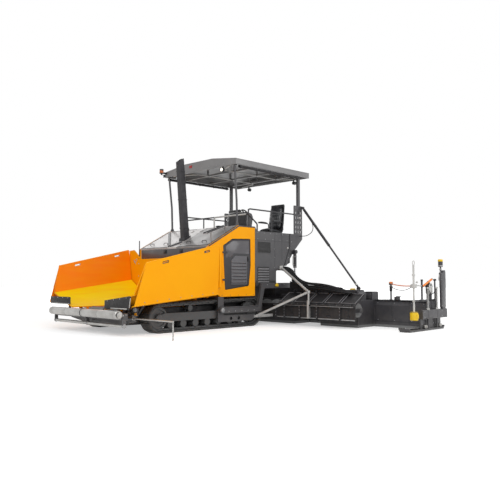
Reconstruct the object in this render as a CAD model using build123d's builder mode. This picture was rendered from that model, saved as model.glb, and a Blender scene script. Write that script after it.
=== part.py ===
from build123d import *
from collections import namedtuple
from math import atan2, cos, hypot, pi, sin
import os

os.makedirs("parts", exist_ok=True)

# All sizes are in millimetres: X forward, Y to the machine's left, Z up from the ground.

# Clearances and stock shared by the whole machine.
fit_gap = 0.3
cut_past = 10.0
sheet_t = 12.0
rail_r = 17.0

# Main frame.
frame_inner_y = 840.0
frame_t = 40.0
frame_rear_x = -1250.0
frame_step_x = 850.0
frame_front_x = 2600.0
frame_low_z = 180.0
frame_deck_z = 880.0
frame_nose_z = 440.0
frame_corner_r = 55.0
frame_hole_r = 60.0
frame_hole_z = 610.0
frame_hole_pitch = 400.0
frame_hole_start = 350.0
deck_t = 20.0
floor_low_z = 300.0
floor_t = 30.0
lashing_x = -1100.0
lashing_z = 600.0
lashing_r = 32.0
outrigger_len = 180.0
outrigger_low_z = 240.0
outrigger_high_z = 390.0

# Front crossmember with the clevis of the push beam.
cross_len = 100.0
cross_half = 1150.0
cross_end_z = 250.0
cross_taper_y = 620.0
clevis_reach = 140.0
clevis_half = 100.0
clevis_nose_r = 44.0
clevis_t = 30.0
clevis_pin_r = 30.0

# Track loops and the wheels inside them.
track_gap = 55.0
track_w = 305.0
idler_x = 2080.0
idler_r = 300.0
sprocket_x = -520.0
sprocket_r = 330.0
shoe_t = 36.0
shoe_gap = 14.0
shoe_pitch = 172.0
link_t = 49.0
link_w = 150.0
wheel_w = 165.0
wheel_r = 79.7
wheel_count = 7
hub_r = 150.0
sprocket_teeth = 12
tooth_gap_r = 26.0
carrier_r = 60.0
beam_w = 200.0
beam_low_z = 225.0
beam_high_z = 390.0

# Hopper wings, their hinge rods and flaps.
wing_rear_x = 900.0
wing_front_x = 2975.0
wing_hinge_y = 640.0
wing_hinge_z = 455.0
hinge_rod_r = 20.0
lug_len = 60.0
lug_half = 18.0
wing_lug_len = 50.0
wing_lug_half = 28.0
wing_t = 20.0
wing_root_y = 625.0
wing_root_z = 480.0
wing_crease_y = 1526.0
wing_crease_rear_z = 1050.0
wing_crease_front_z = 766.0
wing_top_y = 1644.0
wing_rim = 24.0
wing_top_rear_z = 1790.0
wing_top_front_z = 1322.0
wing_skirt_y = 1625.0
wing_skirt_rear_z = 752.0
wing_skirt_front_z = 575.0
wing_lip_y = 1540.0
wing_nose_z = 560.0
wing_rake_x = 2740.0
wing_slot_len = 140.0
wing_slot_h = 34.0
wing_slot_drop = 55.0
flap_t = 12.0

# Push beam, its rollers and its lower bar.
roller_x = 3080.0
roller_z = 408.0
roller_r = 80.0
roller_half = 1285.0
push_gap = 13.0
push_plate = 26.0
push_rear_x = 2890.0
push_front_x = 2990.0
push_low_z = 300.0
push_high_z = 432.0
bar_x = 2975.0
bar_z = 196.0
bar_r = 32.0

# Slat conveyors.
conveyor_z = 440.0
conveyor_h = 84.0
conveyor_inner_y = 40.0
conveyor_w = 520.0
conveyor_front_x = 2610.0
conveyor_rear_x = -870.0
slat_len = 40.0
slat_h = 16.0
slat_pitch = 300.0

# Rear wall of the hopper.
rear_wall_t = 30.0
rear_wall_half = 1650.0
wall_corner_z = 900.0
horn_top_z = 1775.0
horn_inner_y = 1150.0
wall_mid_z = 1560.0
wall_low_z = 520.0
wall_over_track_z = 680.0
tunnel_half = 600.0
tunnel_top_z = 760.0
marker_r = 9.0
marker_y = -1250.0
marker_top_z = 2005.0

# Side bodies and their service doors.
track_to_body = 10.0
skin_t = 30.0
skin_low_z = 690.0
skin_rear_x = -580.0
skin_front_low_z = 900.0
skin_chamfer_x = 500.0
hood_front_z = 1800.0
hood_rear_x = -60.0
hood_top_z = 2290.0
return_w = 50.0
door_front_x = 430.0
door_rear_x = -440.0
door_low_z = 835.0
door_high_z = 2000.0
door_corner_r = 28.0
door_gap = 8.0
door_inset = 6.0
panel_front_x = 180.0
panel_rear_x = -320.0
panel_low_z = 950.0
panel_high_z = 1600.0
panel_raise = 5.0
louvre_count = 7
louvre_h = 26.0
louvre_margin = 30.0
hinge_pin_r = 9.0
knuckle_len = 40.0
door_hinge_out = 10.0

# Hood, lids and exhaust.
lid_t = 26.0
lid_inner_y = 158.0
lid_hinge_r = 10.0
spine_gap = 8.0
lid_side_gap = 4.0
lid_end_gap = 40.0
front_face_low_z = 1540.0
tray_rear_x = 210.0
tray_front_x = 820.0
tray_front_z = 2050.0
tray_rear_z = 2262.0
tray_inner_y = 1050.0
tray_w = 150.0
tray_post_r = 14.0
stack_front_x = 545.0
stack_rear_x = 380.0
stack_half = 70.0
stack_top_x = 630.0
stack_top_len = 140.0
stack_top_z = 3900.0
stack_cut_drop = 100.0
collar_margin = 20.0
collar_h = 60.0
stack_wall = 12.0

# Engine inside the hood.
engine_rear_x = -150.0
engine_front_x = 700.0
engine_half = 430.0
engine_h = 760.0

# Operator platform.
platform_front_x = -585.0
platform_rear_x = -1860.0
platform_low_z = 1000.0
platform_cut_x = -1340.0
platform_cut_low_z = 1270.0
platform_cut_high_z = 1480.0
floor_z = 1900.0
platform_wall = 20.0
side_wall_t = 25.0
side_wall_top_z = 2200.0
front_wall_top_z = 2290.0
recess_front_x = -700.0
recess_rear_x = -1000.0
step_len = 190.0

# Rear corner frames.
corner_t = 20.0
corner_front_x = -2000.0
corner_rear_x = -2320.0
corner_top_z = 2920.0
corner_knee_z = 2080.0
corner_foot_z = 1400.0
grate_len = 36.0
grate_h = 60.0
grate_pitch_x = 90.0
grate_pitch_z = 120.0

# Canopy, its posts, lamps and rolled side curtains.
canopy_front_x = 60.0
canopy_rear_x = -2570.0
canopy_half = 1300.0
canopy_low_z = 3670.0
canopy_side_h = 130.0
canopy_peak_h = 230.0
canopy_peak_half = 500.0
canopy_t = 24.0
canopy_tube = 40.0
canopy_tube_low_z = 3690.0
post_r = 24.0
post_x = -90.0
post_inset = 70.0
post_knee_z = 2890.0
post_top_x = 10.0
rear_post_x = -2220.0
rear_post_len = 80.0
rear_post_w = 60.0
lamp_r = 45.0
lamp_len = 60.0
lamp_drop = 90.0
beacon_r = 50.0
beacon_h = 100.0
curtain_r = 38.0
curtain_front_x = -40.0
curtain_rear_x = -2150.0

# Handrails, seats and console.
top_rail_z = 2698.0
front_rail_x = -470.0
front_rail_z = 2590.0
rail_bend_r = 60.0
console_rail_x = -760.0
console_rail_z = 2150.0
console_rail_r = 25.0
seat_mid_y = 790.0
seat_w = 440.0
seat_rear_x = -1850.0
seat_front_x = -1400.0
seat_low_z = 2240.0
seat_t = 80.0
seat_back_h = 640.0
seat_bend_r = 34.0
arm_rest_w = 45.0
pedestal_r = 60.0
console_mid_y = 600.0
console_w = 600.0
wheel_tilt = 0.7
dial_r = 110.0

# Tow arms and the pins that they turn on.
tow_x = 480.0
tow_z = 400.0
tow_pin_r = 30.0
arm_gap = 12.0
arm_t = 60.0
arm_corner_r = 45.0
arm_low_z = 335.0
arm_deep = 135.0
arm_high_z = 985.0
arm_upper_h = 125.0
arm_foot_x = -2200.0
guide_plate_t = 14.0
guide_len = 170.0
guard_low_z = 140.0
guard_high_z = 290.0
guard_rear_x = -560.0
guard_hole_r = 40.0

# Screed.
screed_front_x = -1740.0
screed_top_z = 600.0
screed_wall = 24.0
screed_slope = 110.0
sole_t = 56.0
main_rear_x = -2300.0
main_half = 1490.0
tube_r = 40.0
tube_z = 300.0
tube_front_x = -1900.0
tube_rear_x = -2150.0
tube_hole_gap = 6.0
walkway_rear_x = -2900.0
walkway_t = 25.0
ext_rear_x = -2840.0
ext_front_y = 2270.0
ext_mid_y = 3300.0
ext_end_y = 4600.0
ext_beam_inner_y = 850.0
ext_beam_gap = 40.0
ext_beam_top_z = 540.0
wide_front_x = -2400.0
wide_rear_x = -2880.0
knob_post_y = 3600.0
knob_post_h = 400.0

# End gates.
gate_gap = 6.0
gate_t = 30.0
gate_lift = 20.0
gate_front_x = -2040.0
gate_rear_x = -3160.0
gate_low_z = 240.0
gate_high_z = 430.0
gate_beam_w = 84.0
ski_w = 94.0
ski_t = 40.0
ski_front_x = -1440.0
ski_rear_x = -3000.0
ski_rise = 60.0
shoe_inner_y = 4460.0
shoe_gap_x = 20.0
column_x = -3000.0
column_w = 140.0
column_top_z = 1270.0
column_bevel = 60.0
handle_out = 60.0
handle_low_z = 680.0
handle_high_z = 1076.0
spindle_r = 24.0
spindle_top_z = 900.0
cylinder_x = -2960.0
cylinder_r = 50.0
cylinder_low_z = 1342.0
cylinder_high_z = 1497.0

# Side stations.
station_y = 4560.0
station_post_r = 20.0
station_rail_w = 60.0
station_rail_h = 40.0
sensor_mast_x = -1910.0
sensor_mast_r = 18.0
sensor_mast_top_z = 1370.0
sensor_puck_r = 80.0
sensor_puck_low_z = 222.0
sensor_puck_high_z = 390.0
grip_post_x = -2260.0
grip_post_top_z = 1034.0
grip_low_z = 905.0
grip_high_z = 1076.0
grip_rear_x = -2720.0
grip_r = 20.0
box_post_x = -2580.0
box_post_w = 108.0
box_low_z = 773.0
box_high_z = 990.0
box_w = 170.0
pole_x = -2850.0
pole_r = 16.0
pole_top_z = 1050.0

# Augers, limiting plates and braces.
auger_x = -1500.0
auger_z = 400.0
auger_r = 189.0
auger_shaft_r = 45.0
auger_pitch = 300.0
flight_t = 14.0
sections_per_turn = 16
drive_half = 85.0
limit_x = -1270.0
limit_t = 20.0
limit_low_z = 180.0
limit_high_z = 505.0
limit_end_y = 3540.0
limit_rib_h = 40.0
limit_rib_out = 30.0
limit_rib_w = 40.0
limit_rib_ys = (1300.0, 1567.0, 2023.0, 2515.0, 3141.0)
flange_out = 60.0
bearing_t = 25.0
bearing_half = 40.0
end_disc_r = 150.0
end_disc_t = 12.0
cover_inner_y = 1372.0
cover_top_x = -1690.0
cover_top_z = 755.0
cover_drop = 14.0
cover_rim = 32.0
cover_fields = 5
brace_r = 26.0
brace_tip_y = 2360.0
brace_tip_z = 786.0
brace_high_z = 1350.0
brace_low_z = 222.0
brace_pad_h = 50.0
tie_low_z = 190.0
tie_high_z = 255.0

# Cylinders and stays.
lift_x = -1960.0
lift_y = 1325.0
lift_pin_z = 1750.0
lift_eye_z = 1050.0
lift_stroke = 250.0
lift_tube_r = 42.0
lift_rod_r = 26.0
wing_ram_x = 2500.0
wing_pin_y = 930.0
wing_pin_z = 300.0
wing_eye_y = 1400.0
wing_eye_z = 700.0
wing_ram_r = 36.0
wing_ram_rod_r = 20.0
stay_x = -2290.0
stay_pin_y = 1320.0
stay_pin_z = 2870.0
stay_foot_y = 2970.0
stay_foot_z = 860.0
stay_sleeve_r = 32.0
stay_sleeve_len = 1270.0
stay_rod_r = 22.0

# Steering guide.
guide_x = 2740.0
guide_z = 330.0
guide_r = 14.0
guide_end_y = 2470.0

# Places that follow from the sizes above.
frame_outer_y = frame_inner_y + frame_t
track_inner_y = frame_outer_y + track_gap
track_outer_y = track_inner_y + track_w
track_mid_y = (track_inner_y + track_outer_y) / 2
belt_t = shoe_t + link_t
half_body = track_outer_y + track_to_body
skin_inner_y = half_body - track_to_body
skin_outer_y = skin_inner_y + skin_t
arm_inner_y = half_body + arm_gap
arm_outer_y = arm_inner_y + arm_t
cross_front_x = frame_front_x + cross_len
clevis_x = cross_front_x + clevis_reach
corner_outer_y = half_body + corner_t
post_half = half_body - post_inset
conveyor_outer_y = conveyor_inner_y + conveyor_w
conveyor_top_z = conveyor_z + conveyor_h / 2
lug_low_z = wing_hinge_z - lug_len
frame_lug_xs = (1150.0, 1900.0, 2450.0)
wing_lug_xs = (1320.0, 2080.0, 2590.0)


def block(x0, x1, y0, y1, z0, z1, mode=Mode.ADD):
    """Add or cut one box given by its limits."""
    with Locations(((x0 + x1) / 2, (y0 + y1) / 2, (z0 + z1) / 2)):
        Box(abs(x1 - x0), abs(y1 - y0), abs(z1 - z0), mode=mode)


def outline(points, plane, radius):
    """Draw a closed outline on a plane, with rounded corners where a radius is given."""
    with BuildSketch(plane) as profile:
        with BuildLine():
            Polyline(*points, close=True)
        make_face()
        if radius > 0:
            fillet(profile.vertices(), radius)
    return profile.sketch


def side_plate(points, y0, y1, radius=0.0, mode=Mode.ADD):
    """Add or cut a plate drawn in the X-Z plane between two values of Y."""
    low_y, high_y = sorted((y0, y1))
    extrude(outline(points, Plane.XZ.offset(-high_y), radius), amount=high_y - low_y, mode=mode)


def cross_plate(points, x0, x1, radius=0.0, mode=Mode.ADD):
    """Add or cut a plate drawn in the Y-Z plane between two values of X."""
    extrude(outline(points, Plane.YZ.offset(x0), radius), amount=x1 - x0, mode=mode)


def rod(start, end, radius, mode=Mode.ADD):
    """Add or cut a round bar between two points."""
    axis = Vector(*end) - Vector(*start)
    middle = (Vector(*start) + Vector(*end)) * 0.5
    with Locations(Plane(origin=middle, z_dir=axis)):
        Cylinder(radius, axis.length, mode=mode)


def bent_rail(points, radius, bend):
    """Add a round tube along straight runs joined by tangent arcs."""
    with BuildLine() as path:
        FilletPolyline(*points, radius=bend)
    with BuildSketch(Plane(origin=path.line @ 0, z_dir=path.line % 0)) as section:
        Circle(radius)
    sweep(section.sketch, path=path.line)


def slope_z(x):
    """Height of the sloping hood surface at X."""
    return hood_front_z + (frame_step_x - x) * (hood_top_z - hood_front_z) / (frame_step_x - hood_rear_x)


def slope_strip(front_x, rear_x, top, bottom):
    """Outline of a strip along the hood slope, by its distance over or under the surface."""
    return (
        (front_x, slope_z(front_x) + top),
        (rear_x, slope_z(rear_x) + top),
        (rear_x, slope_z(rear_x) - bottom),
        (front_x, slope_z(front_x) - bottom),
    )


def save(piece, label):
    """Name one finished piece and write its file."""
    piece.label = label
    export_step(piece, f"parts/{label}.step")


def save_pair(piece, label):
    """Write the left piece and its mirrored right twin."""
    save(piece, f"{label}_left")
    save(mirror(piece, about=Plane.XZ), f"{label}_right")


def ram_barrel(pin, line, across, eye_r, eye_w, tube_r, tube_end, bore_r, bore_start, pin_r):
    """Add a cylinder barrel or sleeve: eye, neck and tube, bored for its rod and its pin."""
    half = across * (eye_w / 2)
    rod(tuple(pin - half), tuple(pin + half), eye_r)
    rod(tuple(pin + line * (eye_r * 0.7)), tuple(pin + line * (eye_r + 20)), min(eye_w / 2, tube_r) * 0.85)
    rod(tuple(pin + line * (eye_r + 18)), tuple(pin + line * tube_end), tube_r)
    rod(tuple(pin + line * bore_start), tuple(pin + line * (tube_end + cut_past)), bore_r + fit_gap, mode=Mode.SUBTRACT)
    rod(tuple(pin - half * 1.5), tuple(pin + half * 1.5), pin_r + fit_gap, mode=Mode.SUBTRACT)


def ram_rod(pin, line, across, start, foot, eye_r, eye_w, radius):
    """Add a piston rod or inner stay from inside its barrel to the eye at its foot."""
    half = across * (eye_w / 2)
    rod(tuple(pin + line * start), tuple(foot), radius)
    rod(tuple(foot - half), tuple(foot + half), eye_r)


# Main frame: side plates, decks, outriggers, wing hinge lugs and the tow pins.
tow_bracket_low_z = skin_low_z - 38
hole_xs = [frame_rear_x + frame_hole_start + frame_hole_pitch * step for step in range(5)]
lift_bracket_y = corner_outer_y + 6
ram_cheek_gap = 20 + fit_gap
with BuildPart() as chassis:
    with BuildSketch(Plane.XZ.offset(-frame_outer_y)) as plate_outline:
        with BuildLine():
            Polyline(
                (frame_rear_x, frame_low_z), (frame_front_x, frame_low_z), (frame_front_x, frame_nose_z),
                (frame_step_x, frame_nose_z), (frame_step_x, frame_deck_z), (frame_rear_x, frame_deck_z), close=True,
            )
        make_face()
        fillet(plate_outline.vertices().group_by(Axis.X)[0], frame_corner_r)
        with Locations(*[(hole_x, frame_hole_z) for hole_x in hole_xs]):
            Circle(frame_hole_r, mode=Mode.SUBTRACT)
    extrude(plate_outline.sketch, amount=frame_t)
    for cross_x in (-200, 900, 1750):
        block(
            cross_x, cross_x + outrigger_len, frame_outer_y, track_mid_y - beam_w / 2,
            outrigger_low_z, outrigger_high_z,
        )
    block(wing_rear_x + 50, frame_front_x, wing_hinge_y - 50, frame_inner_y, lug_low_z - 25, lug_low_z)
    for lug_x in frame_lug_xs:
        block(lug_x, lug_x + lug_len, wing_hinge_y - lug_half, wing_hinge_y + lug_half, lug_low_z, wing_hinge_z)
    ram_cheeks = (
        (wing_ram_x - 60, wing_ram_x - ram_cheek_gap),
        (wing_ram_x + ram_cheek_gap, wing_ram_x + 60),
    )
    for cheek in ram_cheeks:
        block(*cheek, frame_outer_y, wing_pin_y + 30, wing_pin_z - 40, wing_pin_z + 40)
    rod((wing_ram_x - 60, wing_pin_y, wing_pin_z), (wing_ram_x + 60, wing_pin_y, wing_pin_z), 15)
    guide_outer_y = skin_outer_y - 12
    guide_inner_y = guide_outer_y - guide_plate_t
    tow_front_x = tow_x + guide_len / 2
    block(tow_x - guide_len / 2, tow_front_x, frame_outer_y, guide_outer_y, tow_bracket_low_z, skin_low_z)
    block(tow_x - guide_len / 2, tow_front_x, guide_inner_y, guide_outer_y, guard_low_z, tow_bracket_low_z)
    side_plate(
        (
            (tow_front_x, guard_low_z), (tow_front_x, guard_high_z), (guard_rear_x, guard_high_z - 20),
            (guard_rear_x, guard_low_z + 50), (guard_rear_x + 60, guard_low_z),
        ),
        guide_inner_y, guide_outer_y,
    )
    for hole_x in (-70, 170):
        rod((hole_x, guide_inner_y - cut_past, 205), (hole_x, guide_outer_y + cut_past, 205), guard_hole_r, mode=Mode.SUBTRACT)
    rod((tow_x, guide_outer_y - 4, tow_z), (tow_x, arm_outer_y + 13, tow_z), tow_pin_r)
    rod(
        (lashing_x, frame_inner_y - cut_past, lashing_z), (lashing_x, frame_outer_y + cut_past, lashing_z),
        lashing_r, mode=Mode.SUBTRACT,
    )
    block(
        conveyor_rear_x + 70, frame_front_x - 100, conveyor_inner_y + conveyor_w / 2 - 20,
        conveyor_inner_y + conveyor_w / 2 + 20, floor_low_z + floor_t, conveyor_z - conveyor_h / 2,
    )
    block(frame_rear_x, frame_front_x, 0, frame_inner_y, floor_low_z, floor_low_z + floor_t)
    block(frame_rear_x + frame_corner_r, frame_step_x, 0, frame_inner_y, frame_deck_z - deck_t, frame_deck_z)
    mirror(about=Plane.XZ)
save(chassis.part, "chassis")

# Front crossmember: a tapered box beam with the rounded clevis plates and the guide sleeve.
clevis_low_z = push_low_z - 45
clevis_high_z = push_high_z - 37
sleeve_low_y = cross_half - 130
with BuildPart() as crossmember:
    cross_plate(
        (
            (-cross_half, cross_end_z), (-cross_taper_y, frame_low_z), (cross_taper_y, frame_low_z),
            (cross_half, cross_end_z), (cross_half, outrigger_high_z), (-cross_half, outrigger_high_z),
        ),
        frame_front_x, cross_front_x,
    )
    for plate_z in (clevis_low_z, clevis_high_z):
        with BuildSketch(Plane.XY.offset(plate_z)) as clevis:
            with Locations((cross_front_x - 10, 0)):
                Rectangle(20, 2 * clevis_half)
            with Locations((clevis_x, 0)):
                Circle(clevis_nose_r)
            make_hull()
        extrude(clevis.sketch, amount=clevis_t)
    block(cross_front_x - 40, cross_front_x, -clevis_half, clevis_half, outrigger_high_z - 10, clevis_high_z + clevis_t)
    rod((clevis_x, 0, clevis_low_z - 15), (clevis_x, 0, clevis_high_z + clevis_t + 15), clevis_pin_r)
    rod((guide_x, sleeve_low_y, guide_z), (guide_x, cross_half + 130, guide_z), 30)
    block(cross_front_x - cut_past, guide_x - 20, sleeve_low_y + 20, sleeve_low_y + 120, guide_z - 30, guide_z + 30)
    rod(
        (guide_x, sleeve_low_y - cut_past, guide_z), (guide_x, cross_half + 130 + cut_past, guide_z),
        guide_r + fit_gap, mode=Mode.SUBTRACT,
    )
save(crossmember.part, "front_crossmember")

# Hinge rods of the two hopper wings, cut away where the frame lugs hold them.
with BuildPart() as wing_rods:
    rod((wing_rear_x + 100, wing_hinge_y, wing_hinge_z), (cross_front_x, wing_hinge_y, wing_hinge_z), hinge_rod_r)
    for lug_x in frame_lug_xs:
        block(
            lug_x, lug_x + lug_len, wing_hinge_y - lug_half, wing_hinge_y + lug_half, lug_low_z, wing_hinge_z,
            mode=Mode.SUBTRACT,
        )
    mirror(about=Plane.XZ)
save(wing_rods.part, "wing_hinge_rods")

# Slat conveyors: a closed belt on each side with its cross bars.
conveyor_len = conveyor_front_x - conveyor_rear_x
slat_count = int((conveyor_len - 2 * conveyor_h) // slat_pitch) + 1
with BuildPart() as conveyors:
    with BuildSketch(Plane.XZ.offset(-conveyor_outer_y)) as belt:
        with Locations(((conveyor_front_x + conveyor_rear_x) / 2, conveyor_z)):
            SlotOverall(conveyor_len, conveyor_h)
    extrude(belt.sketch, amount=conveyor_w)
    for slat in range(slat_count):
        slat_x = conveyor_rear_x + conveyor_h + slat_pitch * slat
        block(slat_x, slat_x + slat_len, conveyor_inner_y + 5, conveyor_outer_y - 5, conveyor_top_z - 4, conveyor_top_z + slat_h)
    mirror(about=Plane.XZ)
save(conveyors.part, "slat_conveyors")

# Geometry of a track loop: two circles on the ground joined by their outer tangents.
track_span = idler_x - sprocket_x
tangent_turn = 2 * atan2(sprocket_r - idler_r, track_span)
tangent_x = sin(tangent_turn)
tangent_z = cos(tangent_turn)


def track_line(depth):
    """Draw the closed loop that lies a given depth inside the shoes' outer face."""
    front_r = idler_r - depth
    rear_r = sprocket_r - depth
    front_top = (idler_x + front_r * tangent_x, idler_r + front_r * tangent_z)
    rear_top = (sprocket_x + rear_r * tangent_x, sprocket_r + rear_r * tangent_z)
    with BuildLine() as loop:
        Line((sprocket_x, depth), (idler_x, depth))
        ThreePointArc((idler_x, depth), (idler_x + front_r, idler_r), front_top)
        Line(front_top, rear_top)
        ThreePointArc(rear_top, (sprocket_x - rear_r, sprocket_r), (sprocket_x, depth))
    return loop.wire()


def track_band(outer, inner, width):
    """Add the band between two depths of the loop, centred on the track."""
    with BuildSketch(Plane.XZ.offset(-track_mid_y - width / 2)) as band:
        make_face(track_line(outer))
        make_face(track_line(inner), mode=Mode.SUBTRACT)
    extrude(band.sketch, amount=width)


# Track loops: full-width shoes parted by gaps, on a narrower chain.
shoe_line = track_line(shoe_t / 2)
shoe_count = round(shoe_line.length / shoe_pitch)
with BuildPart() as tracks:
    track_band(0, shoe_t, track_w)
    with BuildSketch(Plane.XZ.offset(-track_outer_y - cut_past)) as gaps:
        for shoe in range(shoe_count):
            place = (shoe + 0.5) / shoe_count
            point = shoe_line @ place
            along = shoe_line % place
            turn = atan2(along.Y, along.X) * 180 / pi
            with Locations(Location((point.X, point.Y, 0), (0, 0, turn))):
                Rectangle(shoe_gap, shoe_t + 8)
    extrude(gaps.sketch, amount=track_w + 2 * cut_past, mode=Mode.SUBTRACT)
    track_band(shoe_t - 6, belt_t, link_w)
    mirror(about=Plane.XZ)
save(tracks.part, "tracks")


def top_run_z(x):
    """Height of the chain's inner face on the top run at X."""
    share = (idler_x - x) / track_span
    return idler_r + (idler_r - belt_t) + share * 2 * (sprocket_r - idler_r)


# Track frames with the dished idler, toothed sprocket, track rollers and carrier rollers.
wheel_pitch = (idler_x - sprocket_x - idler_r - sprocket_r) / (wheel_count - 1)
wheel_z = belt_t + wheel_r + fit_gap
idler_wheel_r = idler_r - belt_t - fit_gap
sprocket_wheel_r = sprocket_r - belt_t - fit_gap
with BuildPart() as track_frames:
    side_plate(
        (
            (sprocket_x + 100, beam_low_z), (idler_x - 130, beam_low_z), (idler_x, idler_r - 50), (idler_x, idler_r + 50),
            (idler_x - 130, beam_high_z), (sprocket_x + 200, beam_high_z), (sprocket_x + 100, beam_high_z - 60),
        ),
        track_mid_y - beam_w / 2, track_mid_y + beam_w / 2,
    )
    rod((idler_x, track_mid_y - wheel_w / 2, idler_r), (idler_x, track_mid_y + wheel_w / 2, idler_r), idler_wheel_r)
    rod(
        (idler_x, track_mid_y + wheel_w / 2 - 25, idler_r), (idler_x, track_mid_y + wheel_w / 2 + cut_past, idler_r),
        idler_wheel_r - 40, mode=Mode.SUBTRACT,
    )
    rod((idler_x, track_mid_y, idler_r), (idler_x, track_mid_y + beam_w / 2 + 12, idler_r), hub_r / 2)
    with BuildSketch(Plane.XZ.offset(-track_mid_y - wheel_w / 4)) as teeth:
        with Locations((sprocket_x, sprocket_r)):
            Circle(sprocket_wheel_r)
            with PolarLocations(sprocket_wheel_r, sprocket_teeth):
                Circle(tooth_gap_r, mode=Mode.SUBTRACT)
    extrude(teeth.sketch, amount=wheel_w / 2)
    rod((sprocket_x, track_mid_y - beam_w / 2, sprocket_r), (sprocket_x, track_outer_y - 30, sprocket_r), hub_r)
    for wheel in range(wheel_count):
        wheel_x = sprocket_x + sprocket_r + wheel_pitch * wheel
        rod((wheel_x, track_mid_y - wheel_w / 2, wheel_z), (wheel_x, track_mid_y + wheel_w / 2, wheel_z), wheel_r)
    for wheel_x in (350, 1250):
        carrier_z = top_run_z(wheel_x) - carrier_r - 2
        rod((wheel_x, track_mid_y - 60, carrier_z), (wheel_x, track_mid_y + 60, carrier_z), carrier_r)
        block(wheel_x - 30, wheel_x + 30, track_mid_y - 40, track_mid_y + 40, beam_high_z - cut_past, carrier_z)
    mirror(about=Plane.XZ)
save(track_frames.part, "track_frames")

# Push beam with the brackets of the truck rollers and of the lower bar.
eye_half = clevis_half - 15
with BuildPart() as push_beam:
    block(push_rear_x, push_front_x, -roller_half - 11, roller_half + 11, push_low_z, push_high_z)
    with BuildSketch(Plane.XY.offset(clevis_low_z + clevis_t + fit_gap)) as eye:
        with Locations(((clevis_x + push_rear_x) / 2, 0)):
            Rectangle(push_rear_x - clevis_x + cut_past, 2 * eye_half)
        with Locations((clevis_x, 0)):
            Circle(eye_half)
            Circle(clevis_pin_r + fit_gap, mode=Mode.SUBTRACT)
    extrude(eye.sketch, amount=clevis_high_z - clevis_low_z - clevis_t - 2 * fit_gap)
    for plate_y in (-roller_half - push_plate, -push_gap, roller_half):
        side_plate(
            (
                (push_front_x - 10, roller_z - 40), (roller_x, roller_z - 40), (roller_x + 30, roller_z - 15),
                (roller_x + 30, roller_z + 15), (roller_x, roller_z + 40), (push_front_x - 10, push_high_z),
            ),
            plate_y, plate_y + push_plate,
        )
        side_plate(
            (
                (bar_x + 35, push_low_z + 20), (bar_x - 35, push_low_z + 20), (bar_x - 35, bar_z - 10),
                (bar_x - 15, bar_z - 32), (bar_x + 15, bar_z - 32), (bar_x + 35, bar_z - 10),
            ),
            plate_y, plate_y + push_plate,
        )
save(push_beam.part, "push_beam")

with BuildPart() as push_bar:
    rod((bar_x, push_gap, bar_z), (bar_x, roller_half, bar_z), bar_r)
    mirror(about=Plane.XZ)
save(push_bar.part, "push_bar")

with BuildPart() as push_roller:
    rod((roller_x, push_gap + fit_gap, roller_z), (roller_x, roller_half - fit_gap, roller_z), roller_r)
    chamfer(push_roller.edges().filter_by(GeomType.CIRCLE), 8)
save_pair(push_roller.part, "push_roller")


# Hopper wing: a sheet lofted to the raked front, with the skirt bent under and its hinge lugs.
def wing_section(crease_z, top_z, skirt_z):
    """Outline of the wing sheet in Y-Z from the root over the rim to the lip of the skirt."""
    return (
        (wing_root_y, wing_root_z + wing_t),
        (wing_crease_y - 6, crease_z + wing_t / 2),
        (wing_top_y - 4, top_z),
        (wing_top_y + wing_rim, top_z),
        (wing_skirt_y, skirt_z),
        (wing_lip_y, skirt_z - wing_t),
        (wing_lip_y, skirt_z - 6),
        (wing_skirt_y - 16, skirt_z + 13),
        (wing_top_y + 4, top_z - 42),
        (wing_crease_y + 6, crease_z - wing_t / 2),
        (wing_root_y, wing_root_z),
    )


def wing_top(x):
    """Height of the wing's rim at X."""
    share = (x - wing_rear_x) / (wing_front_x - wing_rear_x)
    return wing_top_rear_z + (wing_top_front_z - wing_top_rear_z) * share


wing_rear = wing_section(wing_crease_rear_z, wing_top_rear_z, wing_skirt_rear_z)
wing_front = wing_section(wing_crease_front_z, wing_top_front_z, wing_skirt_front_z)
slot_half = wing_slot_len / 2
slot_slope = (wing_top_rear_z - wing_top_front_z) / (wing_front_x - wing_rear_x) * slot_half
with BuildPart() as wing:
    with BuildSketch(Plane.YZ.offset(wing_rear_x)):
        with BuildLine():
            Polyline(*wing_rear, close=True)
        make_face()
    with BuildSketch(Plane.YZ.offset(wing_front_x)):
        with BuildLine():
            Polyline(*wing_front, close=True)
        make_face()
    loft(ruled=True)
    side_plate(
        (
            (wing_front_x, wing_nose_z), (wing_front_x + 20, wing_nose_z), (wing_front_x + 20, wing_top_rear_z),
            (wing_rake_x, wing_top_rear_z), (wing_rake_x, wing_top(wing_rake_x)),
        ),
        wing_root_y - cut_past, wing_top_y + 200, mode=Mode.SUBTRACT,
    )
    for slot_x in (1250, 2300):
        slot_z = wing_top(slot_x) - wing_slot_drop
        side_plate(
            (
                (slot_x - slot_half, slot_z + slot_slope), (slot_x + slot_half, slot_z - slot_slope),
                (slot_x + slot_half, slot_z - slot_slope - wing_slot_h), (slot_x - slot_half, slot_z + slot_slope - wing_slot_h),
            ),
            wing_lip_y, wing_top_y + 200, mode=Mode.SUBTRACT,
        )
    for lug_x in wing_lug_xs:
        block(
            lug_x, lug_x + wing_lug_len, wing_hinge_y - wing_lug_half, wing_hinge_y + wing_lug_half,
            wing_hinge_z - wing_lug_half, wing_root_z + 10,
        )
        rod(
            (lug_x - cut_past, wing_hinge_y, wing_hinge_z), (lug_x + wing_lug_len + cut_past, wing_hinge_y, wing_hinge_z),
            hinge_rod_r + 1, mode=Mode.SUBTRACT,
        )
    eye_low = wing_eye_z - 45
    cross_plate(
        (
            (wing_eye_y - 60, eye_low), (wing_eye_y + 60, eye_low), (wing_eye_y + 45, wing_eye_z + 92),
            (wing_eye_y - 40, wing_eye_z + 64),
        ),
        wing_ram_x + 40, wing_ram_x + 56,
    )
save_pair(wing.part, "hopper_wing")

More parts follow.
